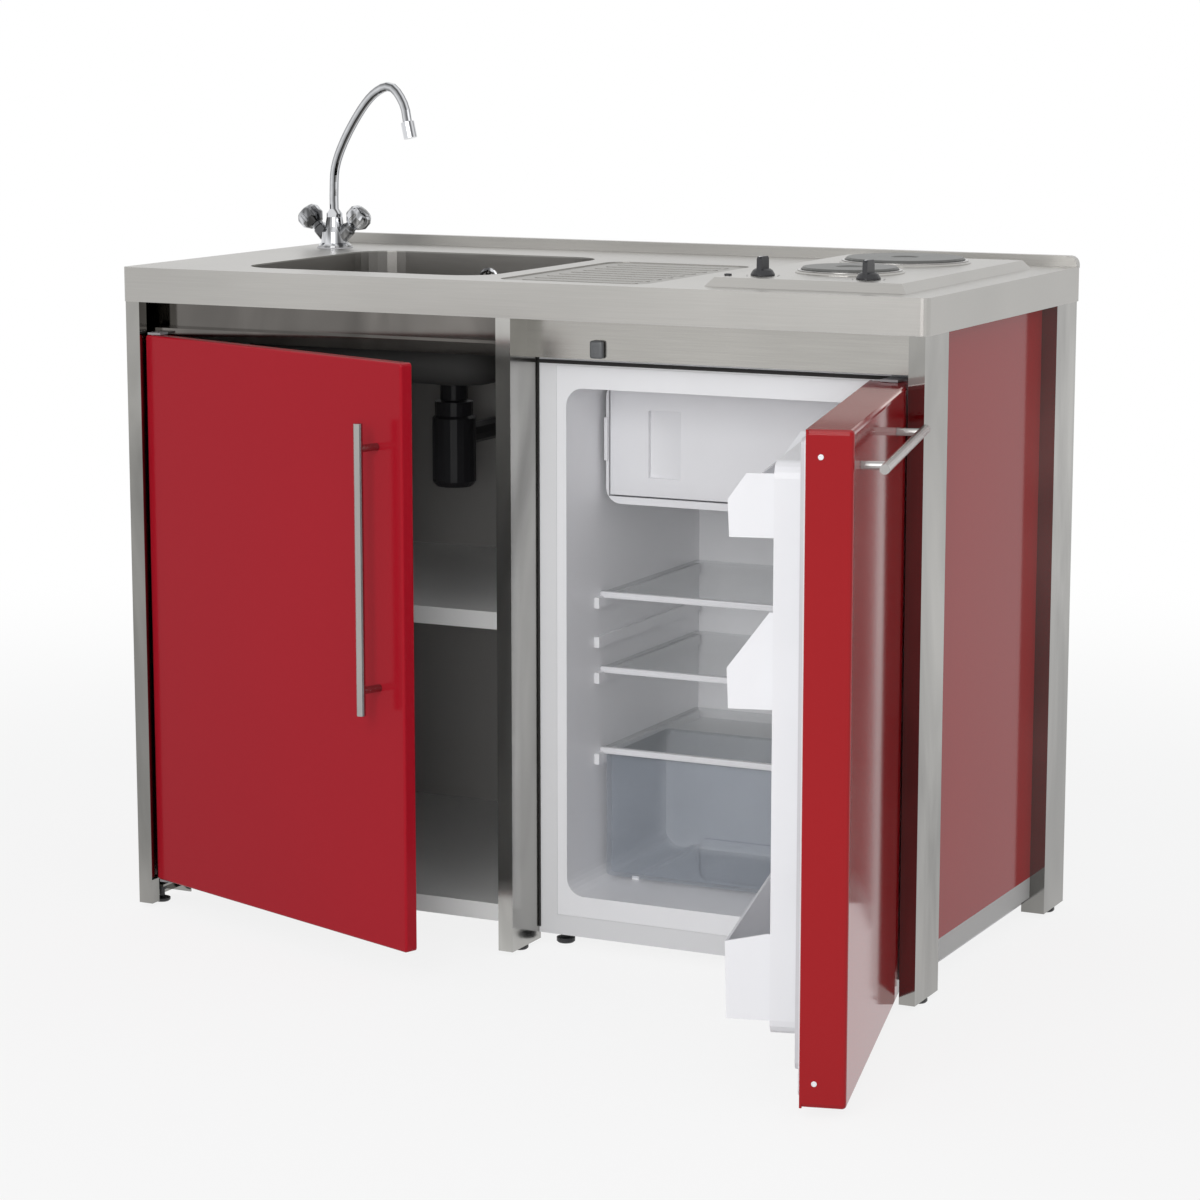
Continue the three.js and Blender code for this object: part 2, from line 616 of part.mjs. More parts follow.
function worktop() {
  const sheet = TOP_SHEET;
  const [xs, ys] = [[LEFT, RIGHT], [FRONT, REAR]];
  const inner = [grown(xs, -sheet), grown(ys, -sheet)];
  const skin = prism(roundedRectangle(xs, ys, TOP_CORNER), 'z', [UNDER, HEIGHT]);
  const hollow = prism(roundedRectangle(...inner, TOP_CORNER - sheet), 'z', [UNDER + sheet, HEIGHT - sheet]);
  const window = box(grown(xs, -SIDE_LIP), grown(ys, -FRONT_LIP), [UNDER - 1, HEIGHT - sheet]);
  const upstandZ = [HEIGHT - 2 * UPSTAND_HEIGHT, HEIGHT + UPSTAND_HEIGHT];
  const upstand = cut(
    prism(roundedRectangle(inner[0], upstandZ, UPSTAND_CORNER), 'y', [REAR - UPSTAND_DEPTH, REAR]),
    box(grown(xs, 1), grown(ys, 1), [UNDER - 1, HEIGHT - sheet]),
  );
  const through = [HEIGHT - 2 * sheet, HEIGHT + 1];
  const bowlHole = prism(roundedRectangle(BOWL_X, BOWL_Y, BOWL_CORNER), 'z', through, { steps: 3 });
  const hobHole = box(grown(HOB_X, -HOB_OVERLAP), grown(HOB_Y, -HOB_OVERLAP), through);
  const floor = HEIGHT - DRAINER_DEPTH;
  const pan = prism(
    roundedRectangle(grown(DRAINER_X, sheet), grown(DRAINER_Y, sheet), DRAINER_CORNER + sheet),
    'z', [floor - sheet, HEIGHT - sheet / 2],
  );
  const recess = prism(roundedRectangle(DRAINER_X, DRAINER_Y, DRAINER_CORNER), 'z', [floor, HEIGHT + 1]);
  const shell = join(cut(skin, hollow, window), upstand, pan);
  return mesh('worktop', join(cut(shell, recess, bowlHole, hobHole), ...drainerRibs(floor)), brushedSteel());
}

// Low ribs that run towards the bowl.
function drainerRibs(floor) {
  const pitch = DRAINER_LENGTH / (DRAINER_RIBS + 1);
  return Array.from({ length: DRAINER_RIBS }, (_, i) => {
    const y = DRAINER_Y[0] + pitch * (i + 1);
    const run = roundedRectangle(
      grown(DRAINER_X, -DRAINER_CORNER), grown([y, y], RIB_WIDTH / 2), RIB_WIDTH / 2 - 0.5,
    );
    return prism(run, 'z', [floor - TOP_SHEET / 2, floor + RIB_RISE]);
  });
}

function sink() {
  const floor = BOWL_FLOOR;
  const top = HEIGHT - TOP_SHEET;
  const over = top + BOWL_FILLET;
  const lid = box(grown(BOWL_X, BOWL_CORNER), grown(BOWL_Y, BOWL_CORNER), [top, over + 1]);
  const dish = (by) => prism(
    roundedRectangle(grown(BOWL_X, by), grown(BOWL_Y, by), BOWL_CORNER + by),
    'z', [floor - by, over], { ease: BOWL_FILLET, steps: 3 },
  );
  const flange = prism(
    roundedRectangle(grown(BOWL_X, BOWL_FLANGE), grown(BOWL_Y, BOWL_FLANGE), BOWL_CORNER + BOWL_FLANGE),
    'z', [top - BOWL_SHEET, top],
  );
  const hole = [floor - 2 * BOWL_SHEET, floor + 1];
  const drain = rod('z', [DRAIN_X, DRAIN_Y], STRAINER_CUP_RADIUS + 1, hole, ROUND_STEPS);
  return mesh('sink_bowl', cut(join(cut(dish(BOWL_SHEET), lid), flange), dish(0), drain), brushedSteel());
}

function strainer() {
  const cup = STRAINER_CUP_RADIUS;
  const profile = [
    [cup - 2, 2], [STRAINER_RADIUS, 1.5], [STRAINER_RADIUS, 0], [cup, 0], [cup, -STRAINER_DEPTH],
    [8, -STRAINER_DEPTH], [8, 2 - STRAINER_DEPTH], [cup - 2, 2 - STRAINER_DEPTH], [cup - 2, 2],
  ].reverse();
  const piece = mesh('sink_strainer', turned(profile), polishedSteel());
  piece.position.set(DRAIN_X, DRAIN_Y, BOWL_FLOOR);
  return piece;
}

function trap() {
  const top = BOWL_FLOOR - STRAINER_DEPTH;
  const nut = TRAP_BOTTLE_RADIUS - 4;
  const bottle = turned([
    [0, top - TRAP_LENGTH], [TRAP_BOTTLE_RADIUS - 6, top - TRAP_LENGTH],
    [TRAP_BOTTLE_RADIUS, top - TRAP_LENGTH + 8], [TRAP_BOTTLE_RADIUS, top - 50], [nut, top - 46],
    [nut, top - 26], [TRAP_PIPE_RADIUS, top - 24], [TRAP_PIPE_RADIUS, top], [0, top],
  ], 20).translate(DRAIN_X, DRAIN_Y, 0);
  const outlet = rod('y', [DRAIN_X, TRAP_OUTLET_Z], TRAP_OUTLET_RADIUS, [DRAIN_Y, REAR], 5);
  return mesh('sink_trap', join(bottle, outlet), blackPlastic());
}

// ---------------------------------------------------------------- tap

function tapBody() {
  const base = TAP_BASE_RADIUS;
  const column = turned([
    [0, 0], [base, 0], [base, 4], [base - 4, 8], [base - 6, 24], [TAP_COLUMN_RADIUS + 2, 32],
    [TAP_COLUMN_RADIUS, TAP_COLUMN_HEIGHT], [0, TAP_COLUMN_HEIGHT],
  ]);
  const valves = [-1, 1].map((side) =>
    turned([
      [0, 0], [VALVE_RADIUS + 2, 0], [VALVE_RADIUS + 2, VALVE_LENGTH - 8],
      [VALVE_RADIUS, VALVE_LENGTH - 6], [VALVE_RADIUS, VALVE_LENGTH], [0, VALVE_LENGTH],
    ], 16).rotateY(side * VALVE_TILT).translate(side * VALVE_OUT, 0, VALVE_UP));
  const body = mesh('tap_body', join(column, ...valves), chrome());
  body.position.set(TAP_X, TAP_Y, HEIGHT);
  return body;
}

function spout() {
  const [rise, reach] = [SPOUT_RISE, SPOUT_REACH];
  const line = new THREE.CatmullRomCurve3([
    [0, 0], [0, 0.2], [0.03, 0.4], [0.25, 0.7], [0.56, 0.95], [0.78, 1], [0.95, 0.87],
    [1, 0.72],
  ].map(([along, up]) => new THREE.Vector3(reach * along, 0, rise * up)));
  const section = circle(0, 0, SPOUT_RADIUS);
  const pipe = new THREE.ExtrudeGeometry(section, {
    steps: 30, curveSegments: 5, extrudePath: line,
  });
  const end = line.getPointAt(1);
  const away = line.getTangentAt(1);
  const lean = Math.atan2(away.x, away.z);
  const aerator = turned([
    [0, -4], [AERATOR_RADIUS, -4], [AERATOR_RADIUS, AERATOR_LENGTH], [0, AERATOR_LENGTH],
  ], 16).rotateY(lean).translate(end.x, end.y, end.z);
  const collar = turned([
    [0, 0], [TAP_COLUMN_RADIUS, 0], [TAP_COLUMN_RADIUS, 5], [SPOUT_RADIUS, 12], [0, 12],
  ], 20);
  const piece = mesh('tap_spout', join(pipe, aerator, collar), chrome());
  piece.position.set(TAP_X, TAP_Y, HEIGHT + TAP_COLUMN_HEIGHT + CLEARANCE);
  piece.rotation.z = THREE.MathUtils.degToRad(SPOUT_TURN);
  return piece;
}

function tapKnob(name, side) {
  const [radius, length] = [TAP_KNOB_RADIUS, TAP_KNOB_LENGTH];
  const knob = turned([
    [0, 0], [VALVE_RADIUS + 3, 0], [radius - 3, 5], [radius, 9], [radius, length - 7],
    [radius - 4, length - 1], [radius - 8, length], [0, length],
  ], 32);
  const flutes = Array.from({ length: TAP_KNOB_FLUTES }, (_, i) => {
    const angle = (2 * Math.PI * i) / TAP_KNOB_FLUTES;
    const at = [Math.cos(angle) * (radius + 2), Math.sin(angle) * (radius + 2)];
    return rod('z', at, 4.5, [-1, length + 1], 4);
  });
  const piece = mesh(name, cut(knob, ...flutes), chrome());
  const out = VALVE_LENGTH + CLEARANCE;
  const across = side * (VALVE_OUT + out * Math.sin(VALVE_TILT));
  piece.position.set(TAP_X + across, TAP_Y, HEIGHT + VALVE_UP + out * Math.cos(VALVE_TILT));
  piece.rotation.y = side * VALVE_TILT;
  return piece;
}

// ---------------------------------------------------------------- hob

// A low block whose four sides slope in towards the top.
function slopedBlock([x0, x1], [y0, y1], [z0, z1], slope) {
  const base = new THREE.BoxGeometry(1, 1, 1);
  const place = base.attributes.position;
  for (let i = 0; i < place.count; i++) {
    const high = place.getZ(i) > 0;
    const inward = high ? slope : 0;
    const x = place.getX(i) < 0 ? x0 + inward : x1 - inward;
    const y = place.getY(i) < 0 ? y0 + inward : y1 - inward;
    place.setXYZ(i, x, y, high ? z1 : z0);
  }
  return base;
}

const LARGE_PLATE = [HOB_CENTRE, HOB_Y[1] - LARGE_PLATE_FROM_REAR];
const SMALL_PLATE = [HOB_CENTRE, HOB_Y[0] + SMALL_PLATE_FROM_FRONT];

function hobPlate() {
  const skin = slopedBlock(HOB_X, HOB_Y, [HEIGHT, HOB_TOP], HOB_SLOPE);
  const inner = [grown(HOB_X, -2 * HOB_SHEET), grown(HOB_Y, -2 * HOB_SHEET)];
  const hollow = slopedBlock(...inner, [HEIGHT - 1, HOB_TOP - HOB_SHEET], HOB_SLOPE);
  const plates = [[LARGE_PLATE, LARGE_PLATE_RADIUS], [SMALL_PLATE, SMALL_PLATE_RADIUS]];
  const rims = plates.map(([[x, y], radius]) =>
    turned([
      [radius - PLATE_RIM, -HOB_SHEET / 2], [radius, -HOB_SHEET / 2], [radius, 1], [radius - 2, 3],
      [radius - PLATE_RIM, 3], [radius - PLATE_RIM, -HOB_SHEET / 2],
    ], 36).translate(x, y, HOB_TOP));
  return mesh('hob_plate', join(cut(skin, hollow), ...rims), brushedSteel());
}

// A tray hung under the worktop by its flange, around the cut-out.
function hobBox() {
  const walls = [grown(HOB_X, -HOB_OVERLAP), grown(HOB_Y, -HOB_OVERLAP)];
  const top = HEIGHT - TOP_SHEET;
  const outside = box(...walls, [top - HOB_BOX_DEPTH, top]);
  const inside = box(
    ...walls.map((wall) => grown(wall, -HOB_SHEET)),
    [top - HOB_BOX_DEPTH + HOB_SHEET, top + 1],
  );
  const flange = box(...walls.map((wall) => grown(wall, HOB_FLANGE)), [top - HOB_SHEET, top]);
  return mesh('hob_box', cut(join(outside, flange), inside), zincSteel());
}

function hotplate(name, [x, y], rimRadius) {
  const radius = rimRadius - PLATE_RIM - CLEARANCE;
  const profile = [
    [0, 0], [radius, 0], [radius, PLATE_HEIGHT - 2], [radius - 2, PLATE_HEIGHT], [20, PLATE_HEIGHT],
    [17, PLATE_HEIGHT - 1.5], [0, PLATE_HEIGHT - 1.5],
  ];
  const plate = mesh(name, turned(profile, 36), castIron());
  plate.position.set(x, y, HOB_TOP);
  return plate;
}

function hobKnob(name, x) {
  const [radius, height] = [HOB_KNOB_RADIUS, HOB_KNOB_HEIGHT];
  const base = turned([
    [0, 0], [radius, 0], [radius, 2], [radius - 3, 7], [radius - 6, 9], [0, 9],
  ], 24);
  const wing = outlineOf([
    [3 - radius, 4], [radius - 3, 4], [radius - 4, height - 3], [radius - 7, height],
    [7 - radius, height], [4 - radius, height - 3],
  ]);
  const knob = join(base, prism(wing, 'y', [-HOB_KNOB_WING / 2, HOB_KNOB_WING / 2]));
  const piece = mesh(name, knob, blackPlastic());
  piece.position.set(x, HOB_Y[0] + HOB_KNOB_FROM_FRONT, HOB_TOP + CLEARANCE);
  piece.rotation.z = Math.PI / 2;
  return piece;
}

function hob() {
  const knobX = HOB_X[0] + HOB_KNOB_FROM_LEFT;
  return [
    hobPlate(),
    hobBox(),
    hotplate('hotplate_large', LARGE_PLATE, LARGE_PLATE_RADIUS),
    hotplate('hotplate_small', SMALL_PLATE, SMALL_PLATE_RADIUS),
    hobKnob('hob_knob_left', knobX),
    hobKnob('hob_knob_right', knobX + HOB_KNOB_PITCH),
  ];
}

// ---------------------------------------------------------------- cupboard

// An upright wall: a sheet tray with a closed front edge, open at the back.
function carcassWall(name, [x0, x1], faceSide) {
  const sheet = CARCASS_SHEET;
  const [ys, zs] = [[CARCASS_FRONT, CARCASS_REAR], [CARCASS_BOTTOM, STOP_BOTTOM]];
  const outside = box([x0, x1], ys, zs);
  const hollowX = faceSide > 0 ? [x0 - 1, x1 - sheet] : [x0 + sheet, x1 + 1];
  const hollow = box(hollowX, grown(ys, -sheet), grown(zs, -sheet));
  return mesh(name, cut(outside, hollow), greySheet());
}

// A shelf folded from sheet, open underneath.
function trayShelf(name, front, bottom, height) {
  const sheet = CARCASS_SHEET;
  const [xs, ys] = [[INSIDE_LEFT, INSIDE_RIGHT], [front, CARCASS_REAR]];
  const outside = box(xs, ys, [bottom, bottom + height]);
  const hollow = box(grown(xs, -sheet), grown(ys, -sheet), [bottom - 1, bottom + height - sheet]);
  return mesh(name, cut(outside, hollow), greySheet());
}

function cupboardBack() {
  const ys = [CARCASS_REAR, CARCASS_REAR + CARCASS_SHEET];
  const panel = box([-BAY_END, CENTRE_LEFT], ys, [CARCASS_BOTTOM, STOP_BOTTOM]);
  const radius = TRAP_OUTLET_RADIUS + 2 * CLEARANCE;
  const pipeHole = rod('y', [DRAIN_X, TRAP_OUTLET_Z], radius, grown(ys, 1), ROUND_STEPS);
  return mesh('cupboard_back', cut(panel, pipeHole), greySheet());
}

function cupboard() {
  return [
    carcassWall('cupboard_wall', [-BAY_END, INSIDE_LEFT], 1),
    carcassWall('cupboard_partition', [INSIDE_RIGHT, CENTRE_LEFT], -1),
    trayShelf('cupboard_floor', CARCASS_FRONT, CARCASS_BOTTOM, FLOOR_TRAY_HEIGHT),
    cupboardBack(),
    trayShelf('cupboard_shelf', CARCASS_FRONT + SHELF_SETBACK, SHELF_UNDERSIDE, SHELF_HEIGHT),
  ];
}

// A bar handle in front of a door's face at y, with its bar and studs along the given axis.
function barHandle(name, axis, [a, b], face) {
  const bar = face - HANDLE_REACH;
  const middle = a + HANDLE_LENGTH / 2;
  const end = axis === 'z' ? [b, bar] : [bar, b];
  const rail = rod(axis, end, HANDLE_RADIUS, [a, a + HANDLE_LENGTH], 7);
  const studs = [-1, 1].map((side) => {
    const along = middle + (side * HANDLE_PITCH) / 2;
    const at = axis === 'z' ? [b, along] : [along, b];
    return rod('y', at, HANDLE_STUD, [bar, face - CLEARANCE], 6);
  });
  return mesh(name, join(rail, ...studs), polishedSteel());
}

function cupboardDoor() {
  const sheet = CUPBOARD_DOOR_SHEET;
  const [x, y] = CUPBOARD_PIVOT;
  const ease = CUPBOARD_DOOR_EDGE;
  const face = pan(DOOR_X, [DOOR_FRONT, DOOR_BACK], DOOR_Z, ease, 0);
  const hollow = pan(DOOR_X, [DOOR_FRONT, DOOR_BACK - sheet], DOOR_Z, ease, sheet);
  const hem = CUPBOARD_DOOR_HEM;
  const opening = box(grown(DOOR_X, -hem), [DOOR_FRONT + sheet, DOOR_BACK + 1], grown(DOOR_Z, -hem));
  const pinHole = rod('z', [x, y], HINGE_PIN + CLEARANCE, grown(DOOR_Z, 1));
  const handleX = DOOR_X[1] - CUPBOARD_HANDLE_FROM_EDGE;
  const handleZ = DOOR_Z[1] - CUPBOARD_HANDLE_FROM_TOP - HANDLE_LENGTH;
  return hinged(CUPBOARD_PIVOT, -CUPBOARD_DOOR_OPEN, [
    mesh('cupboard_door', cut(face, hollow, opening, pinHole), redGloss()),
    barHandle('cupboard_handle', 'z', [handleZ, handleX], DOOR_FRONT),
  ]);
}

// A flat bracket with a pin. The plate's inner face lies at z and the pin points up or down from it.
function hingeBracket(name, [x, y], z, up, xs, back, foot) {
  const plate = box(xs, [y - HINGE_PLATE_REACH / 2, back], up ? [z - HINGE_PLATE, z] : [z, z + HINGE_PLATE]);
  const pin = rod('z', [x, y], HINGE_PIN, up ? [z - 1, z + HINGE_PIN_LENGTH] : [z - HINGE_PIN_LENGTH, z + 1]);
  return mesh(name, join(plate, pin, ...foot), zincSteel());
}

function cupboardHinges() {
  const [x] = CUPBOARD_PIVOT;
  const xs = [x - HINGE_PLATE_REACH / 2, INSIDE_LEFT];
  const [low, high] = grown(DOOR_Z, HINGE_GAP);
  return [
    hingeBracket('cupboard_hinge_bottom', CUPBOARD_PIVOT, low, true, xs, CARCASS_FRONT, []),
    hingeBracket('cupboard_hinge_top', CUPBOARD_PIVOT, high, false, xs, STOP_FRONT, []),
  ];
}

// ---------------------------------------------------------------- fridge cabinet

function fridgeShell() {
  const skin = FRIDGE_SKIN;
  const [xs, ys, zs] = [FRIDGE_X, [FRIDGE_FRONT, FRIDGE_REAR], [FRIDGE_BOTTOM, FRIDGE_TOP]];
  const inX = grown(xs, -skin);
  const inside = cut(
    box(inX, grown(ys, -skin), grown(zs, -skin)),
    box(grown(inX, 1), [BAY_FRONT - skin, FRIDGE_REAR], [FRIDGE_BOTTOM, BAY_TOP + skin]),
  );
  const bay = box(inX, [BAY_FRONT, FRIDGE_REAR + 1], [FRIDGE_BOTTOM + skin, BAY_TOP]);
  const mouthY = [FRIDGE_FRONT - 1, FRIDGE_FRONT + skin + 1];
  const mouth = box(grown(xs, -FRIDGE_FRAME), mouthY, grown(zs, -FRIDGE_FRAME));
  const rearFeet = grown(xs, -REAR_FOOT_IN).map((x) =>
    rod('z', [x, FRIDGE_REAR - REAR_FOOT_IN], FOOT_PAD_RADIUS, [0, FRIDGE_BOTTOM + skin / 2], 8));
  const shell = join(cut(box(xs, ys, zs), inside, bay, mouth), ...rearFeet);
  return mesh('fridge_shell', shell, whiteEnamel());
}

// The space inside the liner, grown by an amount.
function coldSpace(by, front) {
  const outline = roundedRectangle(grown(COLD_X, by), grown(COLD_Z, by), LINER_CORNER + by);
  const room = prism(outline, 'y', [front, COLD_REAR + by], { steps: 3 });
  const step = box(
    grown(COLD_X, by + 1), [STEP_FRONT + by, COLD_REAR + by + 1], [COLD_Z[0] - by - 1, STEP_TOP - by],
  );
  return cut(room, step);
}

function runners() {
  const seats = [UPPER_SHELF_TOP, LOWER_SHELF_TOP, CRISPER_COVER_TOP];
  const tops = [SPARE_RUNNER_TOP, ...seats.map((top) => top - SHELF_GLASS)];
  const run = [FITTINGS_FRONT - RUNNER_FORWARD, COLD_REAR - RUNNER_SHORT];
  const ledges = tops.flatMap((top) => [
    box([COLD_X[0] - 1, COLD_X[0] + RUNNER_DEPTH], run, [top - RUNNER_HEIGHT, top]),
    box([COLD_X[1] - RUNNER_DEPTH, COLD_X[1] + 1], run, [top - RUNNER_HEIGHT, top]),
  ]);
  const skidY = [CRISPER_Y[0] + CRISPER_RUNNER_WIDTH, STEP_FRONT + 1];
  const skids = grown(CRISPER_X, -CRISPER_RUNNER_IN).map((x) =>
    box(grown([x, x], CRISPER_RUNNER_WIDTH / 2), skidY, [COLD_Z[0] - 1, CRISPER_Z[0]]));
  return [...ledges, ...skids];
}

function fridgeLiner() {
  const tray = coldSpace(LINER_SHEET, FRIDGE_FRONT);
  const mouth = FRIDGE_FRAME + CLEARANCE;
  const flange = box(
    grown(FRIDGE_X, -mouth), [FRIDGE_FRONT, FRIDGE_FRONT + LINER_SHEET],
    grown([FRIDGE_BOTTOM, FRIDGE_TOP], -mouth),
  );
  const liner = join(cut(join(tray, flange), coldSpace(0, FRIDGE_FRONT - 1)), ...runners());
  return mesh('fridge_liner', liner, whitePlastic());
}

function fridgeFoot(name, x) {
  const pad = FOOT_PAD_RADIUS;
  const profile = [
    [0, 0], [pad - 2, 0], [pad, 2], [pad, 7], [7, 9], [7, FRIDGE_BOTTOM], [0, FRIDGE_BOTTOM],
  ];
  const foot = mesh(name, turned(profile, 20), blackPlastic());
  foot.position.set(x, FRIDGE_FRONT + FRONT_FOOT_SETBACK, 0);
  return foot;
}

function compressor() {
  const [radius, height] = [COMPRESSOR_RADIUS, COMPRESSOR_HEIGHT];
  const profile = [
    [0, 0], [radius + 4, 0], [radius + 4, 3], [radius, 6], [radius, height * 0.6],
    [radius * 0.9, height * 0.82], [radius * 0.6, height * 0.96], [0, height],
  ];
  const pot = mesh('compressor', turned(profile, 28), blackSteel());
  const middle = (FRIDGE_X[0] + FRIDGE_X[1]) / 2;
  pot.position.set(middle, FRIDGE_REAR - BAY_DEPTH / 2, FRIDGE_BOTTOM + FRIDGE_SKIN);
  return pot;
}

function condenser() {
  const xs = grown(FRIDGE_X, -CONDENSER_FROM_SIDE);
  const zs = [BAY_TOP + CONDENSER_FROM_BAY, FRIDGE_TOP - CONDENSER_FROM_TOP];
  const front = FRIDGE_REAR + CONDENSER_STANDOFF;
  const back = front + CONDENSER_BAR;
  const spread = ([from, to], count, i) => from + ((to - from) * i) / (count - 1);
  const bars = Array.from({ length: CONDENSER_BARS }, (_, i) => {
    const z = spread(grown(zs, -CONDENSER_BAR), CONDENSER_BARS, i);
    return box(xs, [front, back], grown([z, z], CONDENSER_BAR / 2));
  });
  const wires = Array.from({ length: CONDENSER_WIRES }, (_, i) => {
    const x = spread(grown(xs, -CONDENSER_BAR), CONDENSER_WIRES, i);
    const half = CONDENSER_WIRE / 2;
    return box(grown([x, x], half), grown([back, back], half), zs);
  });
  const blocks = grown(xs, -CONDENSER_BLOCK).flatMap((x) =>
    grown(zs, -CONDENSER_BAR).map((z) => {
      const half = CONDENSER_BLOCK / 2;
      return box(grown([x, x], half), [FRIDGE_REAR, front + 1], grown([z, z], half));
    }));
  return mesh('condenser', join(...bars, ...wires, ...blocks), blackSteel());
}

// ---------------------------------------------------------------- fridge fittings

function freezerBox() {
  const ys = [FITTINGS_FRONT, FITTINGS_FRONT + FREEZER_DEPTH];
  const outside = prism(roundedRectangle(FREEZER_X, FREEZER_Z, LINER_CORNER - 3), 'y', ys, { steps: 3 });
  const inside = box(FREEZER_IN_X, [ys[0] - 1, ys[1] - FREEZER_WALL], FREEZER_IN_Z);
  return mesh('freezer_box', cut(outside, inside), whitePlastic());
}

function freezerFlap() {
  const [x, y] = FLAP_PIVOT;
  const ys = [FITTINGS_FRONT, FITTINGS_FRONT + FLAP_THICKNESS];
  const plate = prism(roundedRectangle(FLAP_X, FLAP_Z, 3), 'y', ys, { steps: 1 });
  const gripX = [FLAP_X[0] + GRIP_LEFT, FLAP_X[0] + GRIP_LEFT + GRIP_WIDTH];
  const middle = (FLAP_Z[0] + FLAP_Z[1]) / 2;
  const gripZ = grown([middle, middle], GRIP_HEIGHT / 2);
  const grip = prism(
    roundedRectangle(gripX, gripZ, GRIP_WIDTH / 2 - 1), 'y', [ys[0] - 1, ys[0] + GRIP_DEPTH], { steps: 4 },
  );
  const pin = rod('z', [x, y], FLAP_PIN, grown(FREEZER_IN_Z, -CLEARANCE), 6);
  return mesh('freezer_flap', join(cut(plate, grip), pin), whitePlastic());
}

function glassShelf(name, top) {
  const ys = [FITTINGS_FRONT, COLD_REAR - SHELF_SHORT];
  return mesh(name, box(grown(COLD_X, -1), ys, [top - SHELF_GLASS, top]), glass());
}

function crisperDrawer() {
  const wall = CRISPER_WALL;
  const corner = CRISPER_CORNER;
  const tall = [CRISPER_Z[0], CRISPER_Z[1] + 2 * corner];
  const outside = prism(roundedRectangle(CRISPER_X, tall, corner), 'y', CRISPER_Y);
  const inside = prism(
    roundedRectangle(grown(CRISPER_X, -wall), grown(tall, -wall), corner - wall),
    'y', [CRISPER_Y[0] + CRISPER_FRONT, CRISPER_Y[1] - wall],
  );
  const above = box(grown(CRISPER_X, 1), grown(CRISPER_Y, 1), [CRISPER_Z[1], tall[1] + 1]);
  const middle = (CRISPER_X[0] + CRISPER_X[1]) / 2;
  const gripX = grown([middle, middle], CRISPER_GRIP_WIDTH / 2);
  const gripBottom = CRISPER_Z[0] + CRISPER_GRIP_UP;
  const grip = prism(
    roundedRectangle(gripX, [gripBottom, gripBottom + CRISPER_GRIP_HEIGHT], CRISPER_GRIP_CORNER),
    'y', [CRISPER_Y[0] - 1, CRISPER_Y[0] + CRISPER_FRONT - wall],
  );
  return mesh('crisper_drawer', cut(outside, above, inside, grip), bluePlastic());
}

function fittings() {
  return [
    freezerBox(),
    freezerFlap(),
    glassShelf('shelf_upper', UPPER_SHELF_TOP),
    glassShelf('shelf_lower', LOWER_SHELF_TOP),
    glassShelf('crisper_cover', CRISPER_COVER_TOP),
    crisperDrawer(),
  ];
}

// ---------------------------------------------------------------- fridge door

function doorCasing() {
  const sheet = FRIDGE_DOOR_SHEET;
  const ease = FRIDGE_DOOR_EDGE;
  const [x, y] = FRIDGE_PIVOT;
  const tray = pan(CASING_X, [CASING_FRONT, CASING_BACK], CASING_Z, ease, 0);
  const hollow = pan(CASING_X, [CASING_FRONT, CASING_BACK + 1], CASING_Z, ease, sheet);
  const edge = box(CASING_X, [CASING_BACK - 2 * sheet, CASING_BACK], CASING_Z);
  const mouthY = [CASING_BACK - 3 * sheet, CASING_BACK + 1];
  const mouth = box(grown(INNER_X, -CASING_LIP), mouthY, grown(INNER_Z, -CASING_LIP));
  const pinHole = rod('z', [x, y], HINGE_PIN + CLEARANCE, grown(CASING_Z, 1));
  const shell = join(cut(tray, hollow), cut(edge, mouth));
  return mesh('fridge_door_casing', cut(shell, pinHole), redGloss());
}

function doorInner() {
  const [front, back] = INNER_Y;
  const plate = prism(roundedRectangle(INNER_X, INNER_Z, 8), 'y', [front, back], { steps: 1 });
  const top = CASING_BACK + DYKE_HEIGHT + INNER_SHEET;
  const rim = prism(roundedRectangle(DYKE_X, DYKE_Z, DYKE_CORNER), 'y', [front, top]);
  const well = prism(
    roundedRectangle(RACK_X, grown(DYKE_Z, -DYKE_RIM), WELL_CORNER),
    'y', [back, top + 1], { steps: 1 },
  );
  return mesh('fridge_door_inner', cut(join(plate, rim), well), whitePlastic());
}

function doorGasket() {
  const outside = GASKET_WIDTH + GASKET_MARGIN;
  const [xs, zs] = [[COLD_X[0] - outside, INNER_X[1] - 1], grown(COLD_Z, outside)];
  const back = INNER_Y[1] + CLEARANCE;
  const ys = [back, back + GASKET_THICKNESS];
  const inner = roundedRectangle(grown(xs, -GASKET_WIDTH), grown(zs, -GASKET_WIDTH), 4);
  const ring = cut(
    prism(roundedRectangle(xs, zs, 10), 'y', ys, { steps: 1 }),
    prism(inner, 'y', grown(ys, 1), { steps: 1 }),
  );
  return mesh('fridge_door_gasket', ring, softGrey());
}

// A door rack, open at the top. Its ends slope from the front wall up to a shoulder, then run level.
function doorRack(name, bottom, { height, front, shoulder }) {
  const wall = RACK_WALL;
  const [from, to] = grown(RACK_X, -CLEARANCE);
  const [back, lip] = [INNER_Y[1] + CLEARANCE, CASING_FRONT + RACK_FRONT];
  const foot = lip - RACK_DRAFT;
  const [lipTop, top] = [bottom + front, bottom + height];
  const ends = outlineOf([
    [back, bottom], [foot, bottom], [lip, lipTop], [CASING_FRONT + shoulder, top], [back, top],
  ]);
  const space = outlineOf([
    [back + wall, bottom + wall], [foot - wall, bottom + wall], [lip - wall, lipTop],
    [lip + 1, lipTop], [lip + 1, top + 1], [back + wall, top + 1],
  ]);
  const rack = cut(prism(ends, 'x', [from, to]), prism(space, 'x', [from + wall, to - wall]));
  return mesh(name, rack, clearPlastic());
}

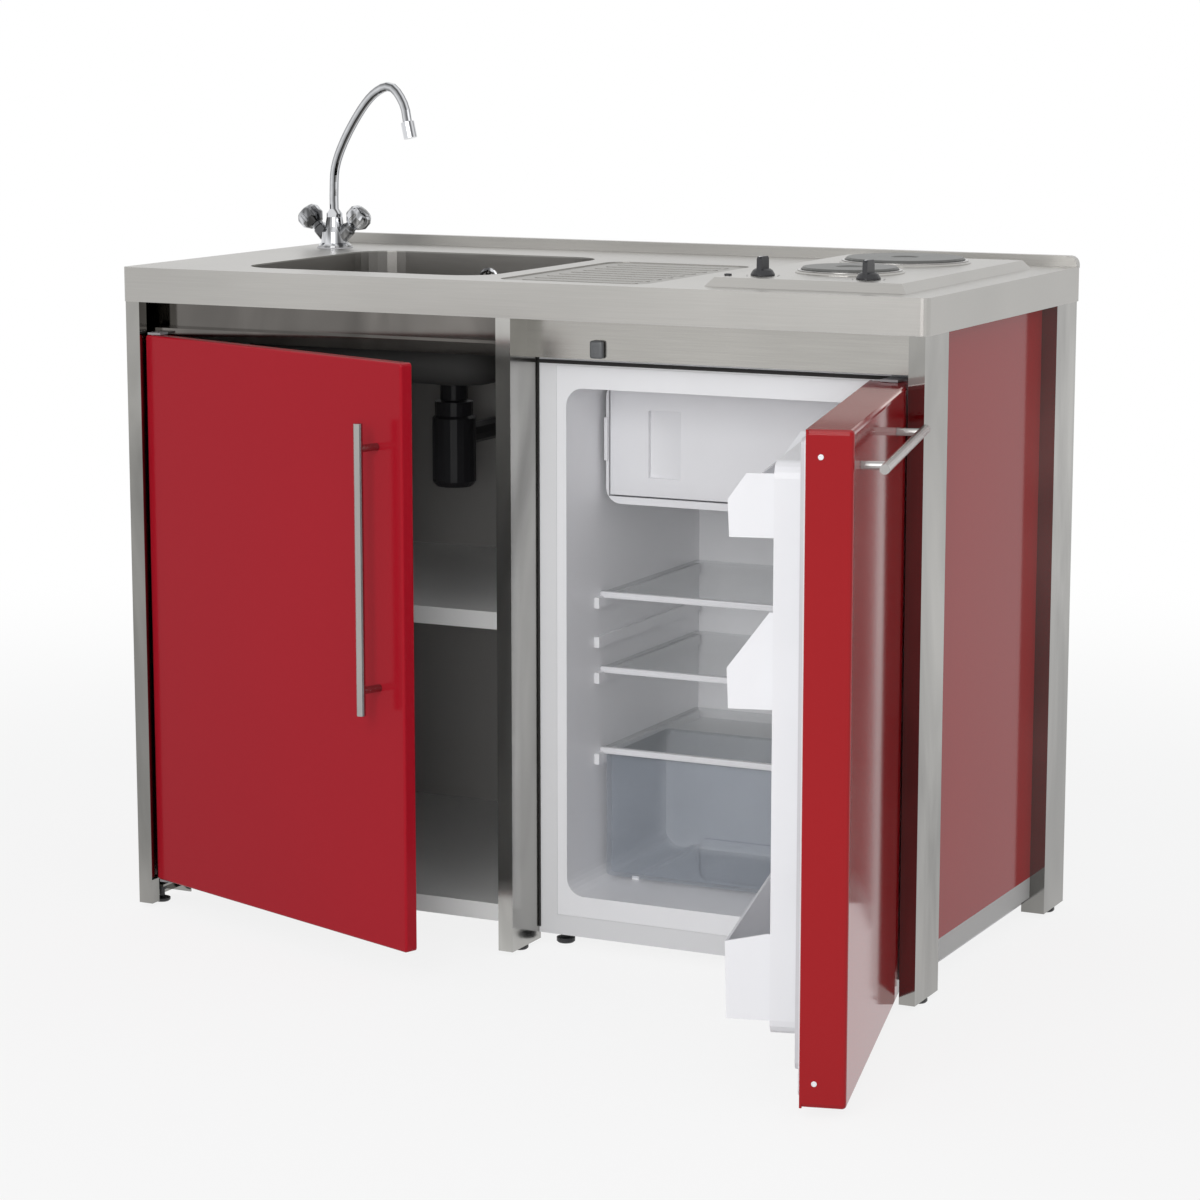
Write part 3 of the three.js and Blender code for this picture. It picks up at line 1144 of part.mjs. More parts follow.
function fridgeDoor() {
  const handleX = CASING_X[1] - FRIDGE_HANDLE_FROM_HINGE - HANDLE_LENGTH;
  const hung = ({ drop, height }) => COLD_Z[1] - drop - height;
  return hinged(FRIDGE_PIVOT, FRIDGE_DOOR_OPEN, [
    doorCasing(),
    doorInner(),
    doorGasket(),
    doorRack('rack_top', hung(TOP_RACK), TOP_RACK),
    doorRack('rack_middle', hung(MIDDLE_RACK), MIDDLE_RACK),
    doorRack('rack_bottom', DYKE_Z[0] + DYKE_RIM + WELL_CORNER, BOTTOM_RACK),
    barHandle('fridge_handle', 'x', [handleX, CASING_Z[1] - FRIDGE_HANDLE_FROM_TOP], CASING_FRONT),
  ]);
}

function fridgeHinges() {
  const [x] = FRIDGE_PIVOT;
  const xs = [x - HINGE_PLATE_REACH, x + HINGE_PLATE_REACH];
  const [low, high] = grown(CASING_Z, HINGE_GAP);
  const tail = FRIDGE_FRONT + HINGE_TAIL;
  const step = box(xs, [FRIDGE_FRONT + HINGE_PLATE, tail], [low - HINGE_PLATE, FRIDGE_BOTTOM]);
  const leg = box(xs, [FRIDGE_FRONT - HINGE_PLATE, FRIDGE_FRONT], [high, FRIDGE_TOP]);
  return [
    hingeBracket('fridge_hinge_bottom', FRIDGE_PIVOT, low, true, xs, tail, [step]),
    hingeBracket('fridge_hinge_top', FRIDGE_PIVOT, high, false, xs, FRIDGE_FRONT, [leg]),
  ];
}

// ---------------------------------------------------------------- assembly

const unit = new THREE.Group();
unit.add(
  ...frame(),
  ...sides(),
  ...fascias(),
  worktop(),
  sink(),
  strainer(),
  trap(),
  tapBody(),
  spout(),
  tapKnob('tap_knob_left', -1),
  tapKnob('tap_knob_right', 1),
  ...hob(),
  ...cupboard(),
  cupboardDoor(),
  ...cupboardHinges(),
  fridgeShell(),
  fridgeLiner(),
  ...fittings(),
  fridgeFoot('fridge_foot_left', FRIDGE_X[0] + FRONT_FOOT_FROM_LEFT),
  fridgeFoot('fridge_foot_right', FRIDGE_X[1] - FRONT_FOOT_FROM_RIGHT),
  compressor(),
  condenser(),
  fridgeDoor(),
  ...fridgeHinges(),
);
unit.position.y = -CENTRE_FOOT[1];

const kitchenette = new THREE.Group();
kitchenette.add(unit);

export default kitchenette;
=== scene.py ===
import json
import math

import bpy
from mathutils import Matrix, Vector


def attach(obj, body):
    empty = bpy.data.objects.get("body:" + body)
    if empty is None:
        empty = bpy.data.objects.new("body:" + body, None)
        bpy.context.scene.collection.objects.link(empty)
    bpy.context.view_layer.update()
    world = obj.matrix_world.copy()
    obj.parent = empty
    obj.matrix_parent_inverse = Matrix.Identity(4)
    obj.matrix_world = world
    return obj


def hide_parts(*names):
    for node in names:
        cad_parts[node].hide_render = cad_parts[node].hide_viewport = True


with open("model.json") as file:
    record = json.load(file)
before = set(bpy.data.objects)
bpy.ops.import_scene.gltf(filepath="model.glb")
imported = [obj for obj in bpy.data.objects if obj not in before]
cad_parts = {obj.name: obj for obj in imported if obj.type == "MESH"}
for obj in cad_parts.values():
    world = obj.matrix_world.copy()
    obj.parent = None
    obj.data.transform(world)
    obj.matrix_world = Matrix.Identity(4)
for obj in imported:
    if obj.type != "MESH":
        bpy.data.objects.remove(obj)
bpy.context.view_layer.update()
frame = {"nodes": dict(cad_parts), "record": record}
nodes = frame["nodes"]
print("frame loaded:", len(nodes), "pieces")

mm = 0.001


# shader wiring

class Wire:
    # one output of a node, with the sums that can be written on it
    def __init__(self, wiring, socket):
        self.wiring = wiring
        self.socket = socket

    def maths(self, operation, first, second):
        return self.wiring.node("ShaderNodeMath", {"operation": operation}, {0: first, 1: second})

    def __add__(self, other):
        return self.maths("ADD", self, other)

    __radd__ = __add__

    def __sub__(self, other):
        return self.maths("SUBTRACT", self, other)

    def __mul__(self, other):
        return self.maths("MULTIPLY", self, other)

    def most(self, other):
        return self.maths("MAXIMUM", self, other)


class Wiring:
    # a node tree that is written as sums of wires
    def __init__(self, tree):
        self.tree = tree

    def node(self, kind, settings=None, inputs=None, output=0):
        made = self.tree.nodes.new(kind)
        for key, value in (settings or {}).items():
            if key == "stops":
                self.rampStops(made, value)
            else:
                setattr(made, key, value)
        for key, value in (inputs or {}).items():
            self.feed(made.inputs[key], value)
        return Wire(self, made.outputs[output])

    def rampStops(self, ramp, stops):
        elements = ramp.color_ramp.elements
        while len(elements) < len(stops):
            elements.new(0.5)
        for element, (place, colour) in zip(elements, stops):
            element.position = place
            element.color = colour

    def feed(self, socket, value):
        if isinstance(value, Wire):
            self.tree.links.new(value.socket, socket)
        else:
            socket.default_value = value

    def watched(self):
        # one for rays that show the surround, in the picture or in metal and glass
        straight, mirrored, through = (self.node("ShaderNodeLightPath", output=ray) for ray in (
            "Is Camera Ray", "Is Glossy Ray", "Is Transmission Ray"))
        return straight.most(mirrored.most(through))


class Finish(Wiring):
    # a material round the standard shader
    def __init__(self, name, base, roughness, metallic=0.0):
        self.material = bpy.data.materials.new(name)
        self.material.use_nodes = True
        super().__init__(self.material.node_tree)
        self.shader = self.tree.nodes["Principled BSDF"]
        self.set("Base Color", (*base, 1.0))
        self.set("Roughness", roughness)
        self.set("Metallic", metallic)

    def set(self, name, value):
        self.feed(self.shader.inputs[name], value)

    def place(self, stretch=(1, 1, 1), turn=(0, 0, 0)):
        here = self.node("ShaderNodeTexCoord", output="Object")
        return self.node("ShaderNodeMapping", {}, {"Vector": here, "Scale": stretch, "Rotation": turn})

    def noise(self, scale, stretch=(1, 1, 1), detail=2.0, roughness=0.5, distortion=0.0):
        return self.node("ShaderNodeTexNoise", {}, {
            "Vector": self.place(stretch), "Scale": scale, "Detail": detail,
            "Roughness": roughness, "Distortion": distortion})

    def shades(self, amount, dark, light):
        # colour that drifts between two tones with a value
        tones = [tone if isinstance(tone, Wire) else (*tone, 1) for tone in (dark, light)]
        return self.node("ShaderNodeMix", {"data_type": "RGBA"}, {
            0: amount, 6: tones[0], 7: tones[1]}, output=2)

    def within(self, low, high, turn=0):
        # one inside a box of the piece's own space, which may be turned about the upright
        axes = self.node("ShaderNodeSeparateXYZ", {}, {0: self.place(turn=(0, 0, turn))}).socket.node.outputs
        inside = 1.0
        for corner, side in ((low, "GREATER_THAN"), (high, "LESS_THAN")):
            for axis, edge in zip(axes, corner):
                inside = Wire(self, axis).maths(side, Wire(self, axis), edge) * inside
        return inside

    def bump(self, height, strength, distance):
        self.set("Normal", self.node("ShaderNodeBump", {}, {
            "Height": height, "Strength": strength, "Distance": distance}))


def spread(colour, factors):
    # a darker and a lighter tone of a colour
    return [tuple(min(1.0, channel * factor) for channel in colour) for factor in factors]


# finishes

brushedLook = {
    "scratch": {"scale": 9.0, "detail": 6.0, "roughness": 0.7}, "cloud": {"scale": 2.2, "detail": 3.0},
    "tones": (0.8, 1.14), "cloudTone": 1.3, "scratchTone": 0.7, "panelTone": 0.85, "toneShift": 0.5,
    "shine": 0.08, "scratchDull": 0.14, "cloudDull": 0.05, "panelDull": 0.16, "depth": 0.0002,
}


def brushedFinish(name, base, roughness, stretch, grain=0.35, dull=None):
    # satin steel: long fine scratches along the least stretched axis, a cloudy sheen, and where
    # it is asked for a duller panel
    look = brushedLook
    steel = Finish(name, base, roughness, 1.0)
    scratches = steel.noise(stretch=stretch, **look["scratch"])
    cloud = steel.noise(**look["cloud"])
    panel = steel.within(*dull) if dull else 0.0
    tone = cloud * look["cloudTone"] + scratches * look["scratchTone"] - look["toneShift"]
    steel.set("Base Color", steel.shades(tone - panel * look["panelTone"], *spread(base, look["tones"])))
    steel.set("Roughness", roughness - look["shine"] + scratches * look["scratchDull"]
              + cloud * look["cloudDull"] + panel * look["panelDull"])
    steel.bump(scratches, grain, look["depth"])
    return steel.material


polishedLook = {
    "smear": {"scale": 420.0, "detail": 2.0},
    "wave": {"scale": 5.0, "stretch": (1, 1, 0.5), "detail": 1.5},
    "paintedRoom": {"scale": 7.0, "stretch": (1, 1, 0.32), "detail": 3.0, "distortion": 0.8},
    "tones": (0.62, 1.25), "paintedContrast": 2.4, "toneShift": 0.7, "shine": 0.02, "smearDull": 0.04,
    "bend": (0.25, 0.002),
}


def polishedFinish(name, base, roughness):
    # mirror steel: painted reflection, cloudy patches of a dim room painted into the base colour, and a slow
    # waviness that bends what it mirrors
    look = polishedLook
    steel = Finish(name, base, roughness, 1.0)
    # painted reflection: the patches darken and lighten the colour as a mirrored room would
    tone = steel.noise(**look["paintedRoom"]) * look["paintedContrast"] - look["toneShift"]
    steel.set("Base Color", steel.shades(tone, *spread(base, look["tones"])))
    steel.set("Roughness", roughness - look["shine"] + steel.noise(**look["smear"]) * look["smearDull"])
    steel.bump(steel.noise(**look["wave"]), *look["bend"])
    return steel.material


chromeLook = {
    "base": (0.66, 0.67, 0.69), "roughness": 0.05, "spots": {"scale": 60.0, "detail": 3.0},
    "paintedStreak": {"scale": 80.0, "stretch": (1, 1, 0.16), "detail": 1.0, "distortion": 0.5},
    "paintedStreakTones": (0.16, 1), "paintedContrast": 5.0, "toneShift": 2.0,
    "paintedStripeTones": (0.1, 1), "jitter": 0.06, "shine": 0.03, "spotDull": 0.07, "bumps": (0.04, 0.0003),
}


def chromeFinish(name, tube=None):
    # chrome with painted reflections: the dark and the light of a studio painted into the base colour, in
    # stripes along a given tube or else in streaks
    look = chromeLook
    chrome = Finish(name, look["base"], look["roughness"], 1.0)
    spots = chrome.noise(**look["spots"])
    # painted reflection: dark and light stripes across the tube, or streaks, stand for a mirrored studio
    if tube:
        across = chrome.node("ShaderNodeVectorMath", {"operation": "DOT_PRODUCT"}, {
            0: chrome.place(), 1: tube["across"]}, output="Value")
        share = (across - tube["middle"]) * (0.5 / tube["radius"]) + 0.5
        tone = chrome.node("ShaderNodeValToRGB", {"stops": tube["stops"]}, {
            "Fac": share + spots * look["jitter"] - look["jitter"] / 2})
    else:
        tone = chrome.noise(**look["paintedStreak"]) * look["paintedContrast"] - look["toneShift"]
    tones = look["paintedStripeTones"] if tube else look["paintedStreakTones"]
    chrome.set("Base Color", chrome.shades(tone, *spread(look["base"], tones)))
    chrome.set("Roughness", look["shine"] + spots * look["spotDull"])
    chrome.bump(spots, *look["bumps"])
    return chrome.material


enamelLook = {
    "tone": {"scale": 1.6, "detail": 2.0}, "peel": {"scale": 210.0, "detail": 1.0},
    "fine": {"scale": 900.0, "detail": 2.0}, "tones": (0.9, 1.07), "shine": 0.02, "fineDull": 0.05,
    "bumps": (0.08, 0.0004),
}


def enamelFinish(name, base, roughness, shine, hidden=None, lining=None):
    # stove enamel: gloss over a very slightly uneven colour, with fine orange peel, and a plain
    # lining on the hidden side of a sheet tray
    look = enamelLook
    enamel = Finish(name, base, roughness)
    colour = enamel.shades(enamel.noise(**look["tone"]), *spread(base, look["tones"]))
    if hidden:
        colour = enamel.shades(enamel.within(*hidden), colour, lining)
    enamel.set("Base Color", colour)
    enamel.set("Roughness", roughness - look["shine"] + enamel.noise(**look["fine"]) * look["fineDull"])
    enamel.set("Specular IOR Level", shine)
    enamel.bump(enamel.noise(**look["peel"]), *look["bumps"])
    return enamel.material


sheetLook = {
    "grain": {"scale": 700.0, "detail": 3.0}, "tone": {"scale": 3.0}, "tones": (0.94, 1.04),
    "shine": 0.04, "grainDull": 0.08, "bumps": (0.12, 0.0003),
}


def sheetFinish(name, base, roughness):
    # powder-coated sheet: a fine grain that breaks up the shine
    look = sheetLook
    coat = Finish(name, base, roughness)
    grain = coat.noise(**look["grain"])
    coat.set("Base Color", coat.shades(coat.noise(**look["tone"]), *spread(base, look["tones"])))
    coat.set("Roughness", roughness - look["shine"] + grain * look["grainDull"])
    coat.bump(grain, *look["bumps"])
    return coat.material


mouldedLook = {
    "flow": {"scale": 6.0, "detail": 2.0, "distortion": 0.6}, "grain": {"scale": 420.0, "detail": 2.0},
    "tones": (0.96, 1.03), "shine": 0.03, "grainDull": 0.06, "bumps": (0.05, 0.0004),
}


def mouldedFinish(name, base, roughness):
    # moulded plastic: even colour, a soft grain and slow flow marks
    look = mouldedLook
    plastic = Finish(name, base, roughness)
    flow, grain = plastic.noise(**look["flow"]), plastic.noise(**look["grain"])
    plastic.set("Base Color", plastic.shades(flow, *spread(base, look["tones"])))
    plastic.set("Roughness", roughness - look["shine"] + grain * look["grainDull"])
    plastic.bump(grain * 0.5 + flow * 0.5, *look["bumps"])
    return plastic.material


clearLook = {"ripple": {"scale": 14.0, "detail": 1.0}, "drift": 0.06, "dull": 0.03, "bumps": (0.05, 0.001)}


def clearFinish(name, base, roughness, cover):
    # glass or clear plastic as a thin tinted skin, so that light reaches what stands behind it
    look = clearLook
    clear = Finish(name, base, roughness)
    ripple = clear.noise(**look["ripple"])
    clear.set("Alpha", cover - look["drift"] / 2 + ripple * look["drift"])
    clear.set("Roughness", roughness + ripple * look["dull"])
    clear.bump(ripple, *look["bumps"])
    return clear.material


ironLook = {
    "base": (0.12, 0.121, 0.116), "roughness": 0.4, "metallic": 0.5,
    "grit": {"scale": 500.0, "detail": 4.0}, "bloom": {"scale": 14.0, "detail": 3.0},
    "tones": (0.75, 1.4), "bloomTone": 0.7, "gritTone": 0.3, "shine": 0.34, "gritDull": 0.16,
    "bumps": (0.3, 0.0004),
}


def castIronFinish(name):
    # a grey casting with a fine grit and a slow bloom
    look = ironLook
    iron = Finish(name, look["base"], look["roughness"], look["metallic"])
    grit, bloom = iron.noise(**look["grit"]), iron.noise(**look["bloom"])
    tone = bloom * look["bloomTone"] + grit * look["gritTone"]
    iron.set("Base Color", iron.shades(tone, *spread(look["base"], look["tones"])))
    iron.set("Roughness", look["shine"] + grit * look["gritDull"])
    iron.bump(grit, *look["bumps"])
    return iron.material


def trayBack(node, turn, depth, margin):
    # what lies behind the front sheet of a folded tray and inside its outline
    flat = Matrix.Rotation(turn, 3, "Z")
    corners = [flat @ corner.co for corner in node.data.vertices]
    low, high = ([end(corner[axis] for corner in corners) for axis in range(3)] for end in (min, max))
    farBehind = 1
    return ((low[0] + margin, low[1] + depth, low[2] + margin),
            (high[0] - margin, farBehind, high[2] - margin), turn)


doorOpening = math.radians(20)
doorBack = trayBack(nodes["cupboard_door"], doorOpening, 0.8 * mm, 3.4 * mm)
doorLining = (0.78, 0.78, 0.77)
drainerPanel = ((-0.03, -0.01, 0.9), (0.19, 0.355, 0.9195))

# the spout's tube lies off its own origin, so the painted reflection stripes are counted from its middle line
tapFoot = (-533, 172)
spoutAim = math.radians(-12)
spoutSide = (-math.sin(spoutAim), math.cos(spoutAim), 0)
spoutPaintedStripes = {
    "across": spoutSide, "middle": -0.533 * spoutSide[0] + 0.427 * spoutSide[1], "radius": 7 * mm,
    # painted reflection: white and black stops for the studio's light and dark mirrored across the spout
    "stops": ((0, (1, 1, 1, 1)), (0.12, (0, 0, 0, 1)), (0.2, (0.1, 0.1, 0.1, 1)), (0.3, (1, 1, 1, 1)),
              (0.46, (0.9, 0.9, 0.9, 1)), (0.54, (0.05, 0.05, 0.05, 1)), (0.64, (0.8, 0.8, 0.8, 1)),
              (1, (1, 1, 1, 1))),
}

# how the scratches of brushed steel are drawn out, along the unit or up a handle
fineAlong, coarseAlong, coarseUp = (1.2, 90, 90), (1.2, 60, 60), (60, 60, 1.2)

finishes = {
    "polished_steel": polishedFinish("polishedSteel", (0.32, 0.315, 0.3), 0.08),
    # painted light: a lighter copy of the polished steel for the centre post
    "centre_steel_painted_light": polishedFinish("centreSteelPaintedLight", (0.48, 0.475, 0.455), 0.15),
    # painted shade: a darker copy of the polished steel for the left fascia
    "fascia_steel_painted_shade": polishedFinish("fasciaSteelPaintedShade", (0.17, 0.16, 0.15), 0.1),
    # painted light: a lighter brushed copy of the steel for the right fascia
    "fascia_steel_painted_light": brushedFinish("fasciaSteelPaintedLight", (0.44, 0.43, 0.405), 0.2, coarseAlong, 0.1),
    "handle_steel": brushedFinish("handleSteel", (0.42, 0.41, 0.4), 0.24, coarseUp, 0.15),
    "worktop_steel": brushedFinish("brushedSteel", (0.46, 0.45, 0.43), 0.34, fineAlong),
    "drained_steel": brushedFinish("drainedSteel", (0.46, 0.45, 0.43), 0.34, fineAlong,
                                   dull=drainerPanel),
    "bowl_steel": brushedFinish("bowlSteel", (0.32, 0.31, 0.295), 0.3, fineAlong),
    "chrome": chromeFinish("chrome"),
    "chrome_painted_stripes": chromeFinish("chromePaintedStripes", spoutPaintedStripes),
    "cast_iron": castIronFinish("castIron"),
    "zinc_steel": sheetFinish("zincSheet", (0.3, 0.3, 0.31), 0.4),
    "red_gloss": enamelFinish("redEnamel", (0.37, 0.01, 0.013), 0.1, 0.17),
    "red_casing": enamelFinish("redCasing", (0.35, 0.008, 0.012), 0.07, 0.19),
    "red_door": enamelFinish("redDoor", (0.41, 0.008, 0.019), 0.18, 0.11, doorBack, doorLining),
    "grey_sheet": sheetFinish("greySheet", (0.5, 0.5, 0.49), 0.42),
    # painted shade: a darker copy of the grey sheet for the cupboard's walls, partition and back
    "interior_painted_shade": sheetFinish("interiorPaintedShade", (0.42, 0.41, 0.4), 0.5),
    # white shelf with painted light: the colour is raised for the light the door keeps off
    "shelf_white_painted_light": sheetFinish("shelfWhitePaintedLight", (0.88, 0.88, 0.87), 0.4),
    "white_enamel": enamelFinish("whiteEnamel", (0.8, 0.8, 0.81), 0.3, 0.4),
    # white liner with painted light: the colour is raised for the fridge's shaded inside
    "liner_white_painted_light": mouldedFinish("linerWhitePaintedLight", (0.9, 0.9, 0.915), 0.34),
    "white_plastic": mouldedFinish("whitePlastic", (0.82, 0.82, 0.84), 0.36),
    "clear_plastic": mouldedFinish("rackPlastic", (0.84, 0.84, 0.86), 0.3),
    "blue_plastic": clearFinish("crisperPlastic", (0.6, 0.66, 0.75), 0.12, 0.18),
    "glass": clearFinish("shelfGlass", (0.74, 0.79, 0.79), 0.05, 0.14),
    "soft_grey": mouldedFinish("sealRubber", (0.62, 0.62, 0.64), 0.6),
    "dark_felt": sheetFinish("darkFelt", (0.03, 0.029, 0.028), 0.8),
    "black_plastic": mouldedFinish("blackPlastic", (0.022, 0.022, 0.025), 0.38),
    "black_steel": sheetFinish("blackPaint", (0.014, 0.014, 0.015), 0.45),
    "dark_grey": mouldedFinish("greyPlastic", (0.13, 0.135, 0.14), 0.4),
}

# the nodes whose finish the photo shows apart from the rest of their slot
ownFinish = {
    "worktop": "drained_steel", "sink_bowl": "bowl_steel", "tap_spout": "chrome_painted_stripes",
    # painted light: the centre post takes a lighter copy of the posts' steel
    "post_front_centre": "centre_steel_painted_light",
    # painted shade on the left fascia and painted light on the right fascia
    "fascia_left": "fascia_steel_painted_shade", "fascia_right": "fascia_steel_painted_light", "cupboard_handle": "handle_steel",
    "fridge_handle": "handle_steel", "fridge_door_casing": "red_casing", "cupboard_door": "red_door",
    # painted light in the fridge liner, painted shade on the cupboard's walls, partition and back
    "fridge_liner": "liner_white_painted_light", "cupboard_wall": "interior_painted_shade", "cupboard_partition": "interior_painted_shade",
    # painted light on the cupboard's shelf and floor, which are white as well
    "cupboard_back": "interior_painted_shade", "cupboard_shelf": "shelf_white_painted_light", "cupboard_floor": "shelf_white_painted_light",
}


def dress(piece, finish):
    piece.data.materials.clear()
    piece.data.materials.append(finish)


for part in frame["record"]["subparts"]:
    name = part["node"]
    dress(nodes[name], finishes[ownFinish.get(name, part["material_slot"])])
print("finishes made:", len(finishes))


# camera, floor and light

camera = {
    "focal": 3422.1 / 1200 * 36,
    "place": (2.113, -4.046, 1.274),
    "yaw": math.radians(26.191),
    "pitch": math.radians(9.789),
}


def addCamera(spec):
    data = bpy.data.cameras.new("camera")
    data.sensor_width = 36
    data.lens = spec["focal"]
    lens = bpy.data.objects.new("camera", data)
    lens.location = spec["place"]
    lens.rotation_euler = (math.pi / 2 - spec["pitch"], 0, spec["yaw"])
    bpy.context.collection.objects.link(lens)
    bpy.context.scene.camera = lens


floorLook = {"size": 60, "colour": (0.62, 0.62, 0.62), "roughness": 0.9, "near": 1.2, "far": 3.4,
             "lift": 0.85}


def addFloor(spec):
    # a grey floor that fades to the white of the surround
    bpy.ops.object.select_all(action="DESELECT")
    bpy.ops.mesh.primitive_plane_add(size=spec["size"], location=(0, 0, 0))
    floor = bpy.context.object
    floor.name = "floor"
    paint = Finish("floorPaint", spec["colour"], spec["roughness"])
    here = paint.node("ShaderNodeTexCoord", output="Object")
    away = paint.node("ShaderNodeVectorMath", {"operation": "LENGTH"}, {0: here}, output="Value")
    fade = paint.node("ShaderNodeMapRange", {"interpolation_type": "SMOOTHSTEP"}, {
        "Value": away, "From Min": spec["near"], "From Max": spec["far"],
        "To Min": spec["lift"], "To Max": 1.0})
    glow = paint.node("ShaderNodeEmission", {}, {"Color": (1, 1, 1, 1), "Strength": 1.0})
    lit = Wire(paint, paint.shader.outputs[0])
    mixed = paint.node("ShaderNodeMixShader", {}, {0: fade * paint.watched(), 1: lit, 2: glow})
    paint.feed(paint.tree.nodes["Material Output"].inputs["Surface"], mixed)
    dress(floor, paint.material)


worldLight = {"colour": (0.97, 0.98, 1.0, 1), "strength": 0.6}


def addWorld(spec):
    # a dim even light, seen as plain white by the camera and in metal and glass
    world = bpy.data.worlds.new("studio")
    world.use_nodes = True
    bpy.context.scene.world = world
    studio = Wiring(world.node_tree)
    dim = studio.tree.nodes["Background"]
    studio.feed(dim.inputs["Color"], spec["colour"])
    studio.feed(dim.inputs["Strength"], spec["strength"])
    white = studio.node("ShaderNodeBackground", {}, {"Color": (1, 1, 1, 1)})
    mixed = studio.node("ShaderNodeMixShader", {}, {
        0: studio.watched(), 1: Wire(studio, dim.outputs[0]), 2: white})
    studio.feed(studio.tree.nodes["World Output"].inputs["Surface"], mixed)


lamps = {
    "keyLamp": {"place": (0.35, -3.9, 2.1), "target": (0, 0, 0.55), "size": (1.6, 2.2), "watts": 46,
                "mirrored": True},
    "frontLamp": {"place": (1.7, -4.0, 1.0), "target": (0.1, 0, 0.45), "size": (0.9, 0.9), "watts": 26,
                  "mirrored": False},
    "fillLamp": {"place": (3.6, -2.0, 2.2), "target": (0, 0, 0.5), "size": (2.0, 2.4), "watts": 10,
                 "mirrored": True},
}


def addLamp(name, spec):
    data = bpy.data.lights.new(name, "AREA")
    data.shape = "RECTANGLE"
    data.size, data.size_y = spec["size"]
    data.energy = spec["watts"]
    lamp = bpy.data.objects.new(name, data)
    lamp.location = spec["place"]
    aim = Vector(spec["target"]) - Vector(spec["place"])
    lamp.rotation_euler = aim.to_track_quat("-Z", "Y").to_euler()
    lamp.visible_glossy = spec["mirrored"]
    bpy.context.collection.objects.link(lamp)


addCamera(camera)
addFloor(floorLook)
addWorld(worldLight)
for name, spec in lamps.items():
    addLamp(name, spec)
bpy.context.scene.view_settings.view_transform = "Standard"
print("camera, floor and light set")


# making pieces

making = {"squareness": 0.99, "wall": 0.2, "smoothUnder": 35}


def spot(x, y, z):
    # a place in millimetres from the middle of the worktop's plan, on the floor
    return Vector((x, y + 255, z)) * mm


def begin(kind, name, **settings):
    bpy.ops.object.select_all(action="DESELECT")
    getattr(bpy.ops.mesh, "primitive_" + kind + "_add")(**settings)
    piece = bpy.context.object
    piece.name = name
    return piece


def choose(piece):
    bpy.ops.object.select_all(action="DESELECT")
    piece.select_set(True)
    bpy.context.view_layer.objects.active = piece


def settle(piece, matrix=None):
    if matrix is not None:
        piece.matrix_world = matrix @ piece.matrix_world
        bpy.context.view_layer.update()
    choose(piece)
    bpy.ops.object.transform_apply(location=True, rotation=True, scale=True)
    return piece


def soften(piece, edge, segments=2):
    choose(piece)
    bpy.ops.object.mode_set(mode="EDIT")
    bpy.ops.mesh.select_all(action="SELECT")
    bpy.ops.mesh.bevel(offset=edge * mm, segments=segments, clamp_overlap=True)
    bpy.ops.object.mode_set(mode="OBJECT")
    return piece


def facing(x=0, y=0, z=0):
    # a test for the faces that look one way
    way = Vector((x, y, z))
    return lambda centre, normal: normal.dot(way) > making["squareness"]


def pick(piece, wanted):
    # goes into edit mode with only the faces whose centre and normal pass the test
    choose(piece)
    bpy.ops.object.mode_set(mode="EDIT")
    bpy.ops.mesh.select_mode(type="FACE")
    bpy.ops.mesh.select_all(action="DESELECT")
    bpy.ops.object.mode_set(mode="OBJECT")
    for face in piece.data.polygons:
        face.select = wanted(face.center, face.normal)
    bpy.ops.object.mode_set(mode="EDIT")


def press(piece, wanted, margin, depth):
    # insets the chosen faces and moves them in, or out for a negative depth
    pick(piece, wanted)
    bpy.ops.mesh.inset(thickness=margin * mm, depth=0)
    bpy.ops.mesh.inset(thickness=making["wall"] * mm, depth=-depth * mm)
    bpy.ops.object.mode_set(mode="OBJECT")
    return piece


def drill(piece, tools):
    # takes a set of small rods out of a piece
    cutter = settle(merge(tools))
    choose(piece)
    holes = piece.modifiers.new("holes", "BOOLEAN")
    holes.operation = "DIFFERENCE"
    holes.object = cutter
    bpy.ops.object.modifier_apply(modifier="holes")
    bpy.data.objects.remove(cutter)
    return piece


def fit(piece, finish, body):
    choose(piece)
    bpy.ops.object.shade_smooth_by_angle(angle=math.radians(making["smoothUnder"]))
    dress(piece, finishes[finish])
    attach(piece, body)
    return piece


def block(name, low, high, edge, segments=2):
    low, high = spot(*low), spot(*high)
    piece = begin("cube", name, size=1, location=(low + high) / 2)
    piece.scale = high - low
    return soften(settle(piece), edge, segments) if edge else settle(piece)


def hem(piece, wanted, edge, segments):
    # rounds the edges whose two ends pass the test
    choose(piece)
    bpy.ops.object.mode_set(mode="EDIT")
    bpy.ops.mesh.select_mode(type="EDGE")
    bpy.ops.mesh.select_all(action="DESELECT")
    bpy.ops.object.mode_set(mode="OBJECT")
    corners = piece.data.vertices
    for line in piece.data.edges:
        line.select = wanted(*(corners[end].co for end in line.vertices))
    bpy.ops.object.mode_set(mode="EDIT")
    bpy.ops.mesh.bevel(offset=edge * mm, segments=segments, clamp_overlap=True)
    bpy.ops.object.mode_set(mode="OBJECT")


def merge(pieces):
    bpy.ops.object.select_all(action="DESELECT")
    for piece in pieces:
        piece.select_set(True)
    bpy.context.view_layer.objects.active = pieces[0]
    bpy.ops.object.join()
    return bpy.context.object


def disc(name, centre, radius, height, edge, sides=32, turn=None):
    # a flat round piece that stands on its centre, along +Z unless it is turned
    piece = begin("cylinder", name, radius=radius * mm, depth=height * mm, vertices=sides)
    settle(piece, Matrix.Translation((0, 0, height * mm / 2)))
    soften(piece, edge)
    return settle(piece, Matrix.Translation(spot(*centre)) @ (turn or Matrix()))


def button(name, centre, spec, wanted, turn=None):
    # a disc with a dished face
    piece = disc(name, centre, spec["radius"], spec["height"], spec["edge"], spec["sides"], turn)
    return press(piece, wanted, spec["margin"], spec["dish"])


